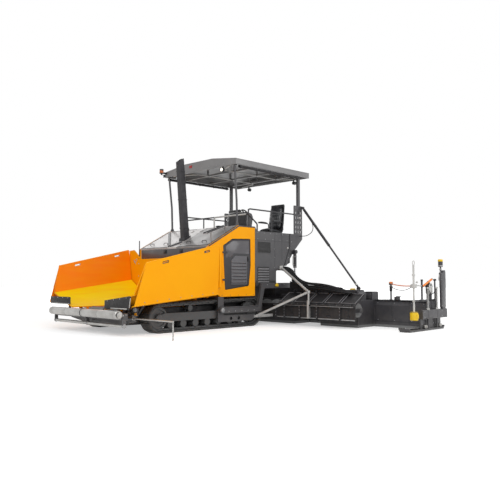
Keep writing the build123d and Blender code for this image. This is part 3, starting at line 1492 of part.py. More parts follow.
# Augers: a shaft with one true helical flight each, handed to push the mix outwards.
flight_start_y = drive_half + 60
flight_len = limit_end_y - flight_start_y - 90
flight_sections = round(flight_len / auger_pitch * sections_per_turn)
flight_root_r = auger_shaft_r - 6
with BuildPart() as auger:
    for section in range(flight_sections + 1):
        share = section / flight_sections
        turn = 2 * pi * share * flight_len / auger_pitch
        origin = (auger_x, flight_start_y + share * flight_len, auger_z)
        outward = (cos(turn), 0, sin(turn))
        with BuildSketch(Plane(origin=origin, x_dir=outward, z_dir=(-sin(turn), 0, cos(turn)))):
            with Locations(((auger_r + flight_root_r) / 2, 0)):
                Rectangle(auger_r - flight_root_r, flight_t)
    loft(ruled=True)
    rod((auger_x, drive_half + fit_gap, auger_z), (auger_x, limit_end_y - bearing_t - fit_gap, auger_z), auger_shaft_r)
    disc_y = limit_end_y - bearing_t - 60
    rod((auger_x, disc_y, auger_z), (auger_x, disc_y + end_disc_t, auger_z), end_disc_r)
save_pair(auger.part, "auger")

# Limiting plates ahead of the augers, with ribs, open-framed covers, the auger drive and its hanger.
plate_rear_x = limit_x - limit_t
brace_tip_x = limit_x + flange_out + brace_r
with BuildPart() as limiting:
    side_plate(
        (
            (auger_x + 200, auger_z - 110), (auger_x + 200, auger_z + 120), (auger_x + 120, auger_z + 200),
            (auger_x - 90, auger_z + 200), (auger_x - 120, auger_z + 150), (auger_x - 120, auger_z - 60),
            (auger_x - 70, auger_z - 110),
        ),
        -drive_half, drive_half,
    )
    block(auger_x - 60, auger_x + 60, -60, 60, auger_z + 190, frame_deck_z)
    block(plate_rear_x, limit_x, -limit_end_y, limit_end_y, limit_low_z, limit_low_z + 150)
    block(auger_x + 190, limit_x, -60, 60, limit_low_z + 20, auger_z - 100)
    cover_pitch = (limit_end_y - cover_inner_y) / cover_fields
    for side in (-1, 1):
        block(plate_rear_x, limit_x, side * frame_outer_y, side * limit_end_y, limit_low_z, limit_high_z)
        block(plate_rear_x, frame_rear_x, side * frame_inner_y, side * frame_outer_y, limit_low_z, limit_high_z)
        for rib_at in limit_rib_ys:
            block(
                limit_x, limit_x + limit_rib_out, side * rib_at, side * (rib_at + limit_rib_w),
                limit_low_z, limit_high_z - limit_rib_h,
            )
        block(
            limit_x, limit_x + flange_out, side * frame_outer_y, side * limit_end_y,
            limit_high_z - limit_rib_h, limit_high_z,
        )
        block(
            limit_x, brace_tip_x + brace_r, side * (brace_tip_y - brace_r), side * (brace_tip_y + brace_r),
            limit_high_z - limit_rib_h, limit_high_z,
        )
        block(
            auger_x - bearing_half, limit_x, side * (limit_end_y - bearing_t), side * limit_end_y,
            auger_z - bearing_half, auger_z + bearing_half,
        )
        side_plate(
            (
                (limit_x, limit_high_z), (cover_top_x, cover_top_z), (cover_top_x, cover_top_z - cover_drop),
                (limit_x, limit_high_z - cover_drop),
            ),
            side * cover_inner_y, side * limit_end_y,
        )
        for field in range(cover_fields):
            field_y = cover_inner_y + cover_pitch * field
            block(
                cover_top_x + cover_rim, plate_rear_x - cover_rim,
                side * (field_y + cover_rim), side * (field_y + cover_pitch - cover_rim),
                limit_high_z, cover_top_z, mode=Mode.SUBTRACT,
            )
save(limiting.part, "limiting_plates")

# Braces: uprights on the plates, with a leg up to the platform and one forward to the guard rail.
brace_tip = (brace_tip_x, brace_tip_y, brace_tip_z)
with BuildPart() as braces:
    rod(brace_tip, (brace_tip_x, brace_tip_y, limit_high_z + fit_gap), brace_r - 6)
    rod(brace_tip, (auger_x - 15, skin_outer_y + 2, brace_high_z), brace_r)
    rod(brace_tip, (guard_rear_x - 40, arm_inner_y, brace_low_z), brace_r)
    block(
        auger_x - 70, auger_x + 40, half_body, skin_outer_y + 5,
        brace_high_z - brace_pad_h, brace_high_z + brace_pad_h,
    )
    block(limit_x + flange_out, guard_rear_x, skin_outer_y - 26, skin_outer_y - 12, tie_low_z, tie_high_z)
    mirror(about=Plane.XZ)
save(braces.part, "auger_braces")

# Screed lift cylinders: barrels on the corner frames, rods down to the lugs of the tow arms.
down = Vector(0, 0, -1)
across_y = Vector(0, 1, 0)
lift_pin = Vector(lift_x, lift_y, lift_pin_z)
lift_foot = Vector(lift_x, lift_y, lift_eye_z)
lift_span = lift_pin_z - lift_eye_z
lift_eye_r = 35.0
lift_tube_end = lift_span - lift_stroke - lift_eye_r - 22
lift_rod_start = lift_tube_end - 75
with BuildPart() as lift_barrel:
    ram_barrel(
        lift_pin, down, across_y, 48, 2 * (lift_y - lift_bracket_y - fit_gap), lift_tube_r, lift_tube_end,
        lift_rod_r, 62, 20,
    )
save_pair(lift_barrel.part, "lift_barrel")

with BuildPart() as lift_rod:
    ram_rod(
        lift_pin, down, across_y, lift_rod_start, lift_foot, lift_eye_r, 2 * (lift_y - lug_outer_y - fit_gap), lift_rod_r,
    )
save_pair(lift_rod.part, "lift_rod")

# Wing cylinders between the frame cheeks and the brackets under the wings.
across_x = Vector(1, 0, 0)
wing_pin = Vector(wing_ram_x, wing_pin_y, wing_pin_z)
wing_foot = Vector(wing_ram_x, wing_eye_y, wing_eye_z)
wing_line = (wing_foot - wing_pin).normalized()
wing_ram_len = hypot(wing_eye_y - wing_pin_y, wing_eye_z - wing_pin_z)
with BuildPart() as wing_barrel:
    ram_barrel(wing_pin, wing_line, across_x, 38, 40, wing_ram_r, wing_ram_len - 217, wing_ram_rod_r, 90, 15)
save_pair(wing_barrel.part, "wing_barrel")

with BuildPart() as wing_rod:
    ram_rod(wing_pin, wing_line, across_x, 115, wing_foot, 30, 79.4, wing_ram_rod_r)
save_pair(wing_rod.part, "wing_rod")

# Long stays between the corner frames and the extensions.
stay_pin = Vector(stay_x, stay_pin_y, stay_pin_z)
stay_foot = Vector(stay_x, stay_foot_y, stay_foot_z)
stay_line = (stay_foot - stay_pin).normalized()
with BuildPart() as stay_sleeve:
    ram_barrel(stay_pin, stay_line, across_x, 36, 43.4, stay_sleeve_r, stay_sleeve_len, stay_rod_r, stay_sleeve_len - 320, 12)
save_pair(stay_sleeve.part, "stay_sleeve")

with BuildPart() as stay_rod:
    ram_rod(stay_pin, stay_line, across_x, stay_sleeve_len - 70, stay_foot, 34, 47.4, stay_rod_r)
save_pair(stay_rod.part, "stay_rod")

# Steering guide that slides out of the crossmember, with its hanging chain.
with BuildPart() as guide_bar:
    rod((guide_x, sleeve_low_y - 20, guide_z), (guide_x, guide_end_y, guide_z), guide_r)
    rod((guide_x, guide_end_y - 10, guide_z), (guide_x, guide_end_y - 10, 6), 8)
save(guide_bar.part, "steering_guide")
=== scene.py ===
"""Looks of the tracked asphalt paver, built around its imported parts.

Axes: X forward, Y to the machine's left, Z up from the ground. All lengths are in metres.
"""

import logging
import math
from dataclasses import dataclass
from enum import Enum
from typing import Iterable, Optional, Sequence

import bmesh
import bpy
from mathutils import Matrix, Vector


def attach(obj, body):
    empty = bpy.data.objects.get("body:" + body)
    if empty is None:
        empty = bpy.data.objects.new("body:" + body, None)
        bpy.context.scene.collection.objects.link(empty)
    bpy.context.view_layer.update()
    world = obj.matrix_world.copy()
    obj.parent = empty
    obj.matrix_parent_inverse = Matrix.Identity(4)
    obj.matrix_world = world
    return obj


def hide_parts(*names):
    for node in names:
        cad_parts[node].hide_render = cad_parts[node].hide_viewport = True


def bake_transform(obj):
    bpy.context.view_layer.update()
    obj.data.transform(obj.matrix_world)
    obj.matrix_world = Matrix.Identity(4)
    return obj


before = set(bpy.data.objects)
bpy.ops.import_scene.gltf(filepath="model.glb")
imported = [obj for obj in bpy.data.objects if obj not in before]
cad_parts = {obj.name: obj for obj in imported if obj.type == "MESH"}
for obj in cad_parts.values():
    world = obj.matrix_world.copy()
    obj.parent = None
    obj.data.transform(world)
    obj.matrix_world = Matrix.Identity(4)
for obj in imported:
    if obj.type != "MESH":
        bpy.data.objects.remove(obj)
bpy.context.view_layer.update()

log = logging.getLogger("paver")

Point = tuple[float, float, float]
Flat = tuple[float, float]
Colour = tuple[float, float, float, float]
Chip = tuple[int, int, int]

# Directions on the left side: OUT is away from the middle of the machine.
AHEAD: Point = (1.0, 0.0, 0.0)
ASTERN: Point = (-1.0, 0.0, 0.0)
UP: Point = (0.0, 0.0, 1.0)
OUT: Point = (0.0, 1.0, 0.0)


def paint_chip(red: int, green: int, blue: int) -> Colour:
    """Turn a colour chip's display values into the linear colour of a shader.

    Args:
        red: Red from 0 to 255.
        green: Green from 0 to 255.
        blue: Blue from 0 to 255.

    Returns:
        Linear red, green, blue and a full alpha.
    """

    def linear(value: int) -> float:
        """Undo the display curve for one channel."""
        share = value / 255
        return share / 12.92 if share <= 0.04045 else ((share + 0.055) / 1.055) ** 2.4

    return (linear(red), linear(green), linear(blue), 1.0)


class Side(Enum):
    """The machine's two sides, with the sign of Y."""

    LEFT = 1
    RIGHT = -1

    @property
    def word(self) -> str:
        """The side as it ends a node's name."""
        return self.name.lower()

    def carry(self, at: Sequence[float]) -> Point:
        """Carry a place or a direction of the left side to this side."""
        return (at[0], at[1] * self.value, at[2])


class Slot(Enum):
    """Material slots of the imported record."""

    ORANGE = "orange_paint"
    DARK = "dark_paint"
    GREY = "grey_paint"
    BLACK = "black_paint"
    STEEL = "bright_steel"
    WORN = "worn_steel"
    TRACK = "track_steel"
    CHROME = "chrome"
    RUBBER = "rubber"
    PLASTIC = "black_plastic"


class Axis(Enum):
    """The direction that an outline is pulled along."""

    X = 0
    Y = 1
    Z = 2

    def place(self, first: float, second: float, depth: float) -> Vector:
        """Put an outline's point and its depth into the machine's frame."""
        order = {Axis.X: (depth, first, second), Axis.Y: (first, depth, second), Axis.Z: (first, second, depth)}
        return Vector(order[self])


# Finishes.


class NodeSheet:
    """A tree of shader nodes while it is wired up."""

    def __init__(self, tree: bpy.types.NodeTree) -> None:
        """Start with an empty tree.

        Args:
            tree: The tree of a material or a world.
        """
        self.tree = tree
        tree.nodes.clear()

    def fill(self, node: bpy.types.Node, values: dict) -> None:
        """Fill a node's inputs.

        Args:
            node: The node.
            values: Inputs by name or number, each a socket to link or a value to set.
        """
        for key, value in values.items():
            if isinstance(value, bpy.types.NodeSocket):
                self.tree.links.new(value, node.inputs[key])
            else:
                node.inputs[key].default_value = value

    def add(self, kind: str, values: Optional[dict] = None, **options: object) -> bpy.types.Node:
        """Add a node and fill its inputs.

        Args:
            kind: The node's type name.
            values: Inputs by name or number, each a socket to link or a value to set.
            **options: Attributes of the node itself.

        Returns:
            The new node.
        """
        node = self.tree.nodes.new(kind)
        for key, value in options.items():
            setattr(node, key, value)
        self.fill(node, values or {})
        return node

    def ramp(
        self, source: bpy.types.NodeSocket, start: float, end: float, low: float = 0.0, high: float = 1.0
    ) -> bpy.types.NodeSocket:
        """Stretch a range of a value onto another range, clamped."""
        values = {"Value": source, "From Min": start, "From Max": end, "To Min": low, "To Max": high}
        return self.add("ShaderNodeMapRange", values).outputs[0]

    def arith(self, kind: str, first: object, second: object = 0.0) -> bpy.types.NodeSocket:
        """One sum of two values, such as MULTIPLY or SUBTRACT."""
        return self.add("ShaderNodeMath", {0: first, 1: second}, operation=kind, use_clamp=True).outputs[0]


class ShaderSheet(NodeSheet):
    """One procedural material while it is wired up."""

    def __init__(self, name: str) -> None:
        """Start an empty material with its shader and output.

        Args:
            name: The material's name.
        """
        self.material = bpy.data.materials.new(name)
        self.material.use_nodes = True
        super().__init__(self.material.node_tree)
        self.shader = self.add("ShaderNodeBsdfPrincipled")
        self.add("ShaderNodeOutputMaterial", {0: self.shader.outputs[0]})
        coordinates = self.add("ShaderNodeTexCoord")
        self.place = coordinates.outputs["Object"]
        self.facing = coordinates.outputs["Normal"]

    def speckle(self, scale: float, detail: float = 3.0, stretch: Point = (1.0, 1.0, 1.0)) -> bpy.types.NodeSocket:
        """Noise over the piece, with its size per metre and an optional stretch."""
        place = self.place
        if stretch != (1.0, 1.0, 1.0):
            place = self.add("ShaderNodeMapping", {"Vector": place, "Scale": stretch}).outputs[0]
        return self.add("ShaderNodeTexNoise", {"Vector": place, "Scale": scale, "Detail": detail}).outputs[0]

    def mix(self, share: bpy.types.NodeSocket, first: object, second: object) -> bpy.types.NodeSocket:
        """Mix two colours by a share that varies over the surface."""
        return self.add("ShaderNodeMix", {0: share, 6: first, 7: second}, data_type="RGBA").outputs[2]

    def rounded(self, radius: float) -> tuple[bpy.types.NodeSocket, bpy.types.NodeSocket]:
        """Normals rounded over sharp edges, and a mask that is 1 on those edges.

        Args:
            radius: How far the rounding reaches from an edge.

        Returns:
            The rounded normal and the edge mask.
        """
        bevel = self.add("ShaderNodeBevel", {"Radius": radius}, samples=4).outputs[0]
        normal = self.add("ShaderNodeNewGeometry").outputs["Normal"]
        dot = self.add("ShaderNodeVectorMath", {0: bevel, 1: normal}, operation="DOT_PRODUCT").outputs["Value"]
        return (bevel, self.ramp(dot, 0.995, 0.9))

    def height(self) -> bpy.types.NodeSocket:
        """Height over the ground at rest."""
        return self.add("ShaderNodeSeparateXYZ", {0: self.place}).outputs[2]


DUST: Chip = (128, 122, 114)
WHITE: Colour = (1.0, 1.0, 1.0, 1.0)
DUST_TOP = 0.75
COAT_ROUGHNESS = 0.12
BUMP_DISTANCE = 0.002
ACRYLIC_IOR = 1.49


@dataclass(frozen=True)
class Finish:
    """A finish with slow drift of colour, fine grain, rubbed edges and dust low down."""

    name: str
    colour: Chip
    deep: Chip
    roughness: float = 0.5
    slot: Slot = Slot.PLASTIC
    metal: float = 0.0
    coat: float = 0.0
    patch: float = 2.2
    grain: float = 420.0
    bump: float = 0.04
    edge_radius: float = 0.004
    rub: float = 0.0
    rubbed: Chip = (160, 158, 153)
    dust: float = 0.0
    speck: float = 0.0
    shine: float = 0.5

    def material(self) -> bpy.types.Material:
        """Make the material once and hand the same one out afterwards."""
        made = bpy.data.materials.get(self.name)
        return made if made is not None else self.build()

    def tone(self, sheet: ShaderSheet) -> bpy.types.NodeSocket:
        """Colour that drifts slowly between the finish's two tones."""
        return sheet.mix(
            sheet.ramp(sheet.speckle(self.patch, 4.0), 0.35, 0.75), paint_chip(*self.colour), paint_chip(*self.deep)
        )

    def gloss(self, sheet: ShaderSheet) -> bpy.types.NodeSocket:
        """Roughness that wanders a little about its mean."""
        low, high = self.roughness * 0.82, min(1.0, self.roughness * 1.22)
        return sheet.ramp(sheet.speckle(self.patch * 4, 5.0), 0.3, 0.7, low, high)

    def relief(self, sheet: ShaderSheet) -> bpy.types.NodeSocket:
        """Height of the fine grain."""
        return sheet.speckle(self.grain, 2.0)

    def build(self) -> bpy.types.Material:
        """Wire the whole material.

        Returns:
            The finished material.
        """
        sheet = ShaderSheet(self.name)
        normal, edges = sheet.rounded(self.edge_radius)
        colour = self.tone(sheet)
        if self.speck:
            colour = sheet.mix(
                sheet.ramp(sheet.speckle(95.0, 3.0), 0.62, 0.7, 0.0, self.speck), colour, paint_chip(*self.rubbed)
            )
        if self.rub:
            worn = sheet.arith("MULTIPLY", edges, sheet.ramp(sheet.speckle(38.0, 4.0), 0.42, 0.62, 0.0, self.rub))
            colour = sheet.mix(worn, colour, paint_chip(*self.rubbed))
        if self.dust:
            low = sheet.ramp(sheet.height(), DUST_TOP, 0.0, 0.0, self.dust)
            film = sheet.arith("MULTIPLY", low, sheet.ramp(sheet.speckle(7.0, 5.0), 0.3, 0.75))
            colour = sheet.mix(film, colour, paint_chip(*DUST))
        bump = sheet.add(
            "ShaderNodeBump",
            {"Strength": self.bump, "Distance": BUMP_DISTANCE, "Height": self.relief(sheet), "Normal": normal},
        ).outputs[0]
        sheet.fill(
            sheet.shader,
            {
                "Base Color": colour, "Roughness": self.gloss(sheet), "Normal": bump, "Metallic": self.metal,
                "Coat Weight": self.coat, "Coat Roughness": COAT_ROUGHNESS, "Specular IOR Level": self.shine,
            },
        )
        self.extra(sheet)
        return sheet.material

    def extra(self, sheet: ShaderSheet) -> None:
        """Room for what only some finishes have."""


@dataclass(frozen=True)
class WingEnamelAndShade(Finish):
    """Enamel of the hopper, with painted shade, a deeper tone, on the faces that look into the hopper, and a painted
    highlight on the inner faces that look up.
    """

    # Deeper orange painted on the inner walls as shade.
    bay: Chip = (255, 131, 0)
    # Bright yellow painted on the inner faces that look up, as light from above.
    bay_floor: Chip = (255, 220, 10)
    inward: float = 1.0

    def tone(self, sheet: ShaderSheet) -> bpy.types.NodeSocket:
        """Outer tone, with painted shade on the inner wall and a painted highlight on the inner floor, by the way
        that each face looks.
        """
        outer = Finish.tone(self, sheet)
        split = sheet.add("ShaderNodeSeparateXYZ", {0: sheet.facing})
        into = sheet.arith("MULTIPLY", split.outputs[1], self.inward)
        lifted = sheet.ramp(split.outputs[2], 0.55, 0.75)
        # Painted light and shade inside the hopper: faces that look up are lit, the others shaded.
        bay = sheet.mix(lifted, paint_chip(*self.bay), paint_chip(*self.bay_floor))
        streaks = sheet.ramp(sheet.speckle(5.0, 5.0, (0.25, 1.0, 1.6)), 0.4, 0.75, 0.0, 0.35)
        bay = sheet.mix(streaks, bay, paint_chip(*self.deep))
        # Faces that look inward take the painted light and shade in place of the outer tone.
        return sheet.mix(sheet.ramp(into, 0.12, 0.2), outer, bay)


@dataclass(frozen=True)
class Brushed(Finish):
    """Metal with fine lines from turning or brushing along one direction."""

    lines: Point = (1.0, 60.0, 1.0)

    def relief(self, sheet: ShaderSheet) -> bpy.types.NodeSocket:
        """Height of the fine lines."""
        return sheet.speckle(14.0, 4.0, self.lines)

    def gloss(self, sheet: ShaderSheet) -> bpy.types.NodeSocket:
        """Roughness drawn out along the lines."""
        return sheet.ramp(sheet.speckle(9.0, 4.0, self.lines), 0.3, 0.7, self.roughness * 0.7, self.roughness * 1.3)


@dataclass(frozen=True)
class Weave(Finish):
    """Coated cloth or seat cover with a fine regular weave."""

    thread: float = 620.0

    def relief(self, sheet: ShaderSheet) -> bpy.types.NodeSocket:
        """Height of the crossing threads."""
        along = sheet.add("ShaderNodeTexWave", {"Vector": sheet.place, "Scale": self.thread / 6, "Distortion": 0.6})
        across = sheet.add(
            "ShaderNodeTexWave", {"Vector": sheet.place, "Scale": self.thread / 6, "Distortion": 0.6},
            bands_direction="Z",
        )
        return sheet.arith("MULTIPLY", along.outputs[1], across.outputs[1])


@dataclass(frozen=True)
class Lens(Finish):
    """Moulded clear or tinted plastic over a lamp, with fine flutes."""

    clear: float = 0.6
    glow: float = 0.0

    def relief(self, sheet: ShaderSheet) -> bpy.types.NodeSocket:
        """Height of the moulded flutes."""
        wave = sheet.add("ShaderNodeTexWave", {"Vector": sheet.place, "Scale": 32.0}, bands_direction="Y")
        return wave.outputs[1]

    def extra(self, sheet: ShaderSheet) -> None:
        """Let light through and add the lamp's own glow."""
        sheet.fill(sheet.shader, {"Transmission Weight": self.clear, "IOR": ACRYLIC_IOR})
        if self.glow:
            sheet.fill(sheet.shader, {"Emission Color": paint_chip(*self.colour), "Emission Strength": self.glow})


ORANGE = Finish(
    "body_enamel", (255, 172, 0), (253, 162, 0), 0.42, shine=0.14, patch=1.1, grain=520, bump=0.03,
    edge_radius=0.006, rub=0.25, rubbed=(255, 190, 80), slot=Slot.ORANGE,
)
WING_COLOURS = dict(
    colour=(255, 173, 0), deep=(253, 163, 0), roughness=0.42, shine=0.14, patch=0.9, grain=520, bump=0.03,
    edge_radius=0.006, rub=0.35, rubbed=(255, 196, 96), slot=Slot.ORANGE,
)
# Wing enamel with painted shade and painted light on its inner faces.
WING_LEFT = WingEnamelAndShade("wing_enamel_and_shade_left", inward=-1.0, **WING_COLOURS)
WING_RIGHT = WingEnamelAndShade("wing_enamel_and_shade_right", inward=1.0, **WING_COLOURS)
DARK = Finish(
    "frame_enamel", (76, 75, 77), (64, 63, 66), 0.42, coat=0.15, patch=1.6, grain=480, bump=0.05, rub=0.5,
    rubbed=(120, 118, 114), dust=0.25, slot=Slot.DARK,
)
SCREED = Finish(
    "screed_enamel", (60, 59, 63), (49, 48, 52), 0.45, coat=0.1, patch=2.4, grain=420, bump=0.06, rub=0.6,
    rubbed=(130, 128, 124), dust=0.2, speck=0.12, slot=Slot.DARK,
)
ROOF = Finish(
    "roof_enamel", (130, 129, 129), (116, 115, 116), 0.4, coat=0.15, patch=1.1, grain=460, bump=0.04, rub=0.3,
    rubbed=(150, 149, 147), slot=Slot.GREY,
)
PLATE = Finish(
    "plate_enamel", (40, 39, 41), (31, 30, 32), 0.5, patch=2.0, grain=300, bump=0.08, rub=0.7,
    rubbed=(110, 108, 106), dust=0.15, speck=0.15, shine=0.35, slot=Slot.BLACK,
)
LID = Finish(
    "lid_enamel", (150, 147, 146), (132, 130, 129), 0.4, coat=0.15, patch=1.3, grain=260, bump=0.1, rub=0.25,
    rubbed=(190, 188, 186), slot=Slot.GREY,
)
BLADE = Finish(
    "blade_enamel", (138, 136, 139), (122, 121, 124), 0.4, patch=2.0, grain=460, bump=0.05, rub=0.35,
    rubbed=(170, 169, 170), slot=Slot.GREY,
)
HOOD = Finish(
    "hood_enamel", (186, 180, 177), (172, 167, 165), 0.36, coat=0.25, patch=1.3, grain=500, bump=0.04, rub=0.25,
    rubbed=(205, 203, 200), slot=Slot.GREY,
)
BLACK = Finish(
    "black_enamel", (38, 37, 41), (29, 28, 32), 0.44, coat=0.1, patch=2.6, grain=380, bump=0.06, rub=0.4,
    rubbed=(92, 91, 92), slot=Slot.BLACK,
)
STACK = Finish(
    "stack_enamel", (36, 35, 39), (28, 27, 31), 0.5, patch=3.0, grain=260, bump=0.08, rub=0.45, rubbed=(86, 82, 80),
    speck=0.15, slot=Slot.BLACK,
)
STEEL = Brushed(
    "turned_steel", (188, 187, 184), (160, 158, 154), 0.36, metal=0.85, patch=4.0, bump=0.12,
    lines=(60.0, 1.0, 60.0), dust=0.1, slot=Slot.STEEL,
)
ZINC = Finish(
    "zinc_plate", (164, 165, 166), (138, 139, 141), 0.45, metal=0.6, patch=9.0, grain=90, bump=0.08, rub=0.3,
    rubbed=(196, 196, 194), slot=Slot.STEEL,
)
PALE_STEEL = Finish(
    "galvanised_steel", (190, 189, 187), (164, 163, 161), 0.5, metal=0.25, patch=7.0, grain=120, bump=0.08, rub=0.3,
    rubbed=(214, 213, 211), slot=Slot.STEEL,
)
CHROME = Finish(
    "rod_chrome", (214, 215, 217), (196, 197, 200), 0.12, metal=1.0, patch=6.0, bump=0.01, slot=Slot.CHROME
)
WORN = Brushed(
    "worn_steel", (104, 101, 98), (70, 67, 65), 0.48, metal=0.7, patch=5.0, bump=0.2, rub=0.7,
    rubbed=(168, 166, 162), lines=(6.0, 1.0, 6.0), dust=0.2, slot=Slot.WORN,
)
TRACK = Finish(
    "track_steel", (58, 56, 55), (40, 38, 37), 0.55, metal=0.45, patch=8.0, grain=160, bump=0.25, rub=0.8,
    rubbed=(140, 137, 132), dust=0.3, speck=0.2, slot=Slot.TRACK,
)
PAD = Finish(
    "pad_rubber", (33, 32, 33), (45, 43, 42), 0.72, patch=9.0, grain=240, bump=0.3, rub=0.4, rubbed=(74, 72, 70),
    dust=0.45, slot=Slot.RUBBER,
)
RUBBER = Finish(
    "sheet_rubber", (28, 28, 29), (38, 37, 37), 0.6, patch=5.0, grain=320, bump=0.12, rub=0.2, rubbed=(64, 63, 62),
    slot=Slot.RUBBER,
)
HOSE = Weave(
    "braided_hose", (24, 24, 26), (33, 33, 35), 0.6, patch=6.0, bump=0.18, thread=1500.0, shine=0.25,
    slot=Slot.RUBBER,
)
ORANGE_HOSE = Finish(
    "orange_hose", (250, 130, 40), (236, 104, 24), 0.4, patch=7.0, grain=300, bump=0.06, slot=Slot.RUBBER
)
PLASTIC = Finish(
    "moulded_plastic", (37, 37, 40), (29, 29, 31), 0.5, patch=4.0, grain=900, bump=0.16, edge_radius=0.003, rub=0.15,
    rubbed=(70, 70, 73),
)
PALE = Finish("pale_plastic", (206, 205, 201), (190, 189, 186), 0.42, patch=5.0, grain=700, bump=0.08)
YELLOW = Finish("yellow_plastic", (246, 206, 26), (232, 186, 18), 0.4, patch=6.0, grain=600, bump=0.06)
GRIP = Finish("orange_plastic", (252, 142, 36), (238, 118, 22), 0.42, patch=6.0, grain=600, bump=0.08)
RED = Lens("red_reflector", (196, 26, 22), (150, 12, 12), 0.22, clear=0.25, bump=0.3)
AMBER = Lens("amber_lens", (246, 128, 16), (214, 92, 6), 0.18, clear=0.35, bump=0.3)
LENS = Lens("lamp_glass", (222, 226, 230), (196, 201, 207), 0.12, clear=0.5, bump=0.2)
LIT = Lens("lit_lamp_glass", (255, 250, 236), (240, 236, 226), 0.15, clear=0.2, bump=0.2, glow=1.6)
PANE = Finish(
    "door_pane", (84, 81, 85), (72, 70, 74), 0.2, coat=0.15, patch=1.5, grain=60, bump=0.01, slot=Slot.DARK
)
PANEL = Finish(
    "louvre_panel", (92, 91, 95), (80, 79, 83), 0.4, coat=0.1, patch=2.0, grain=460, bump=0.05, rub=0.35,
    rubbed=(150, 149, 150), slot=Slot.GREY,
)
SCREEN = Finish("display_glass", (22, 26, 30), (14, 17, 20), 0.08, coat=0.8, patch=9.0, grain=60, bump=0.01)
VINYL = Weave(
    "seat_vinyl", (46, 47, 51), (36, 37, 40), 0.34, coat=0.35, patch=7.0, bump=0.22, thread=800.0, rub=0.2,
    rubbed=(86, 88, 92),
)
CANVAS = Weave(
    "rolled_canvas", (44, 43, 45), (33, 32, 34), 0.75, patch=6.0, bump=0.35, thread=900.0, slot=Slot.RUBBER
)


# Shaping.


def circle(count: int) -> list[Flat]:
    """Cosine and sine of evenly spaced angles round a full turn."""
    angles = [2 * math.pi * step / count for step in range(count)]
    return [(math.cos(angle), math.sin(angle)) for angle in angles]


def cap(radius: float, height: float, top_radius: float, top: float) -> list[Flat]:
    """Profile of a round cap: a straight wall from the foot and a smaller top."""
    return [(radius, 0.0), (radius, height), (top_radius, top)]


def collar(inner: float, outer: float, half: float, land: float) -> list[Flat]:
    """Profile of a collar, alike on both sides of its middle, with broken edges."""
    return [(inner, -half), (outer, -land), (outer, land), (inner, half)]


def rounded_path(points: Sequence[Point], radius: float, steps: int = 6) -> list[Vector]:
    """Round the corners of a run of points.

    Args:
        points: Corners from end to end.
        radius: Reach of each rounding along its two runs at most.
        steps: Pieces in each rounded corner.

    Returns:
        The points of the rounded run.
    """
    corners = [Vector(p) for p in points]
    path = [corners[0]]
    for before, corner, after in zip(corners, corners[1:], corners[2:]):
        reach = min(radius, (before - corner).length * 0.48, (after - corner).length * 0.48)
        start = corner + (before - corner).normalized() * reach
        end = corner + (after - corner).normalized() * reach
        for step in range(steps + 1):
            share = step / steps
            path.append(start.lerp(corner, share).lerp(corner.lerp(end, share), share))
    path.append(corners[-1])
    return path


PAIRED_BODIES = (
    "door", "lid", "wing", "extension", "gate", "auger", "roller", "stay_sleeve", "stay_rod", "lift_barrel"
)


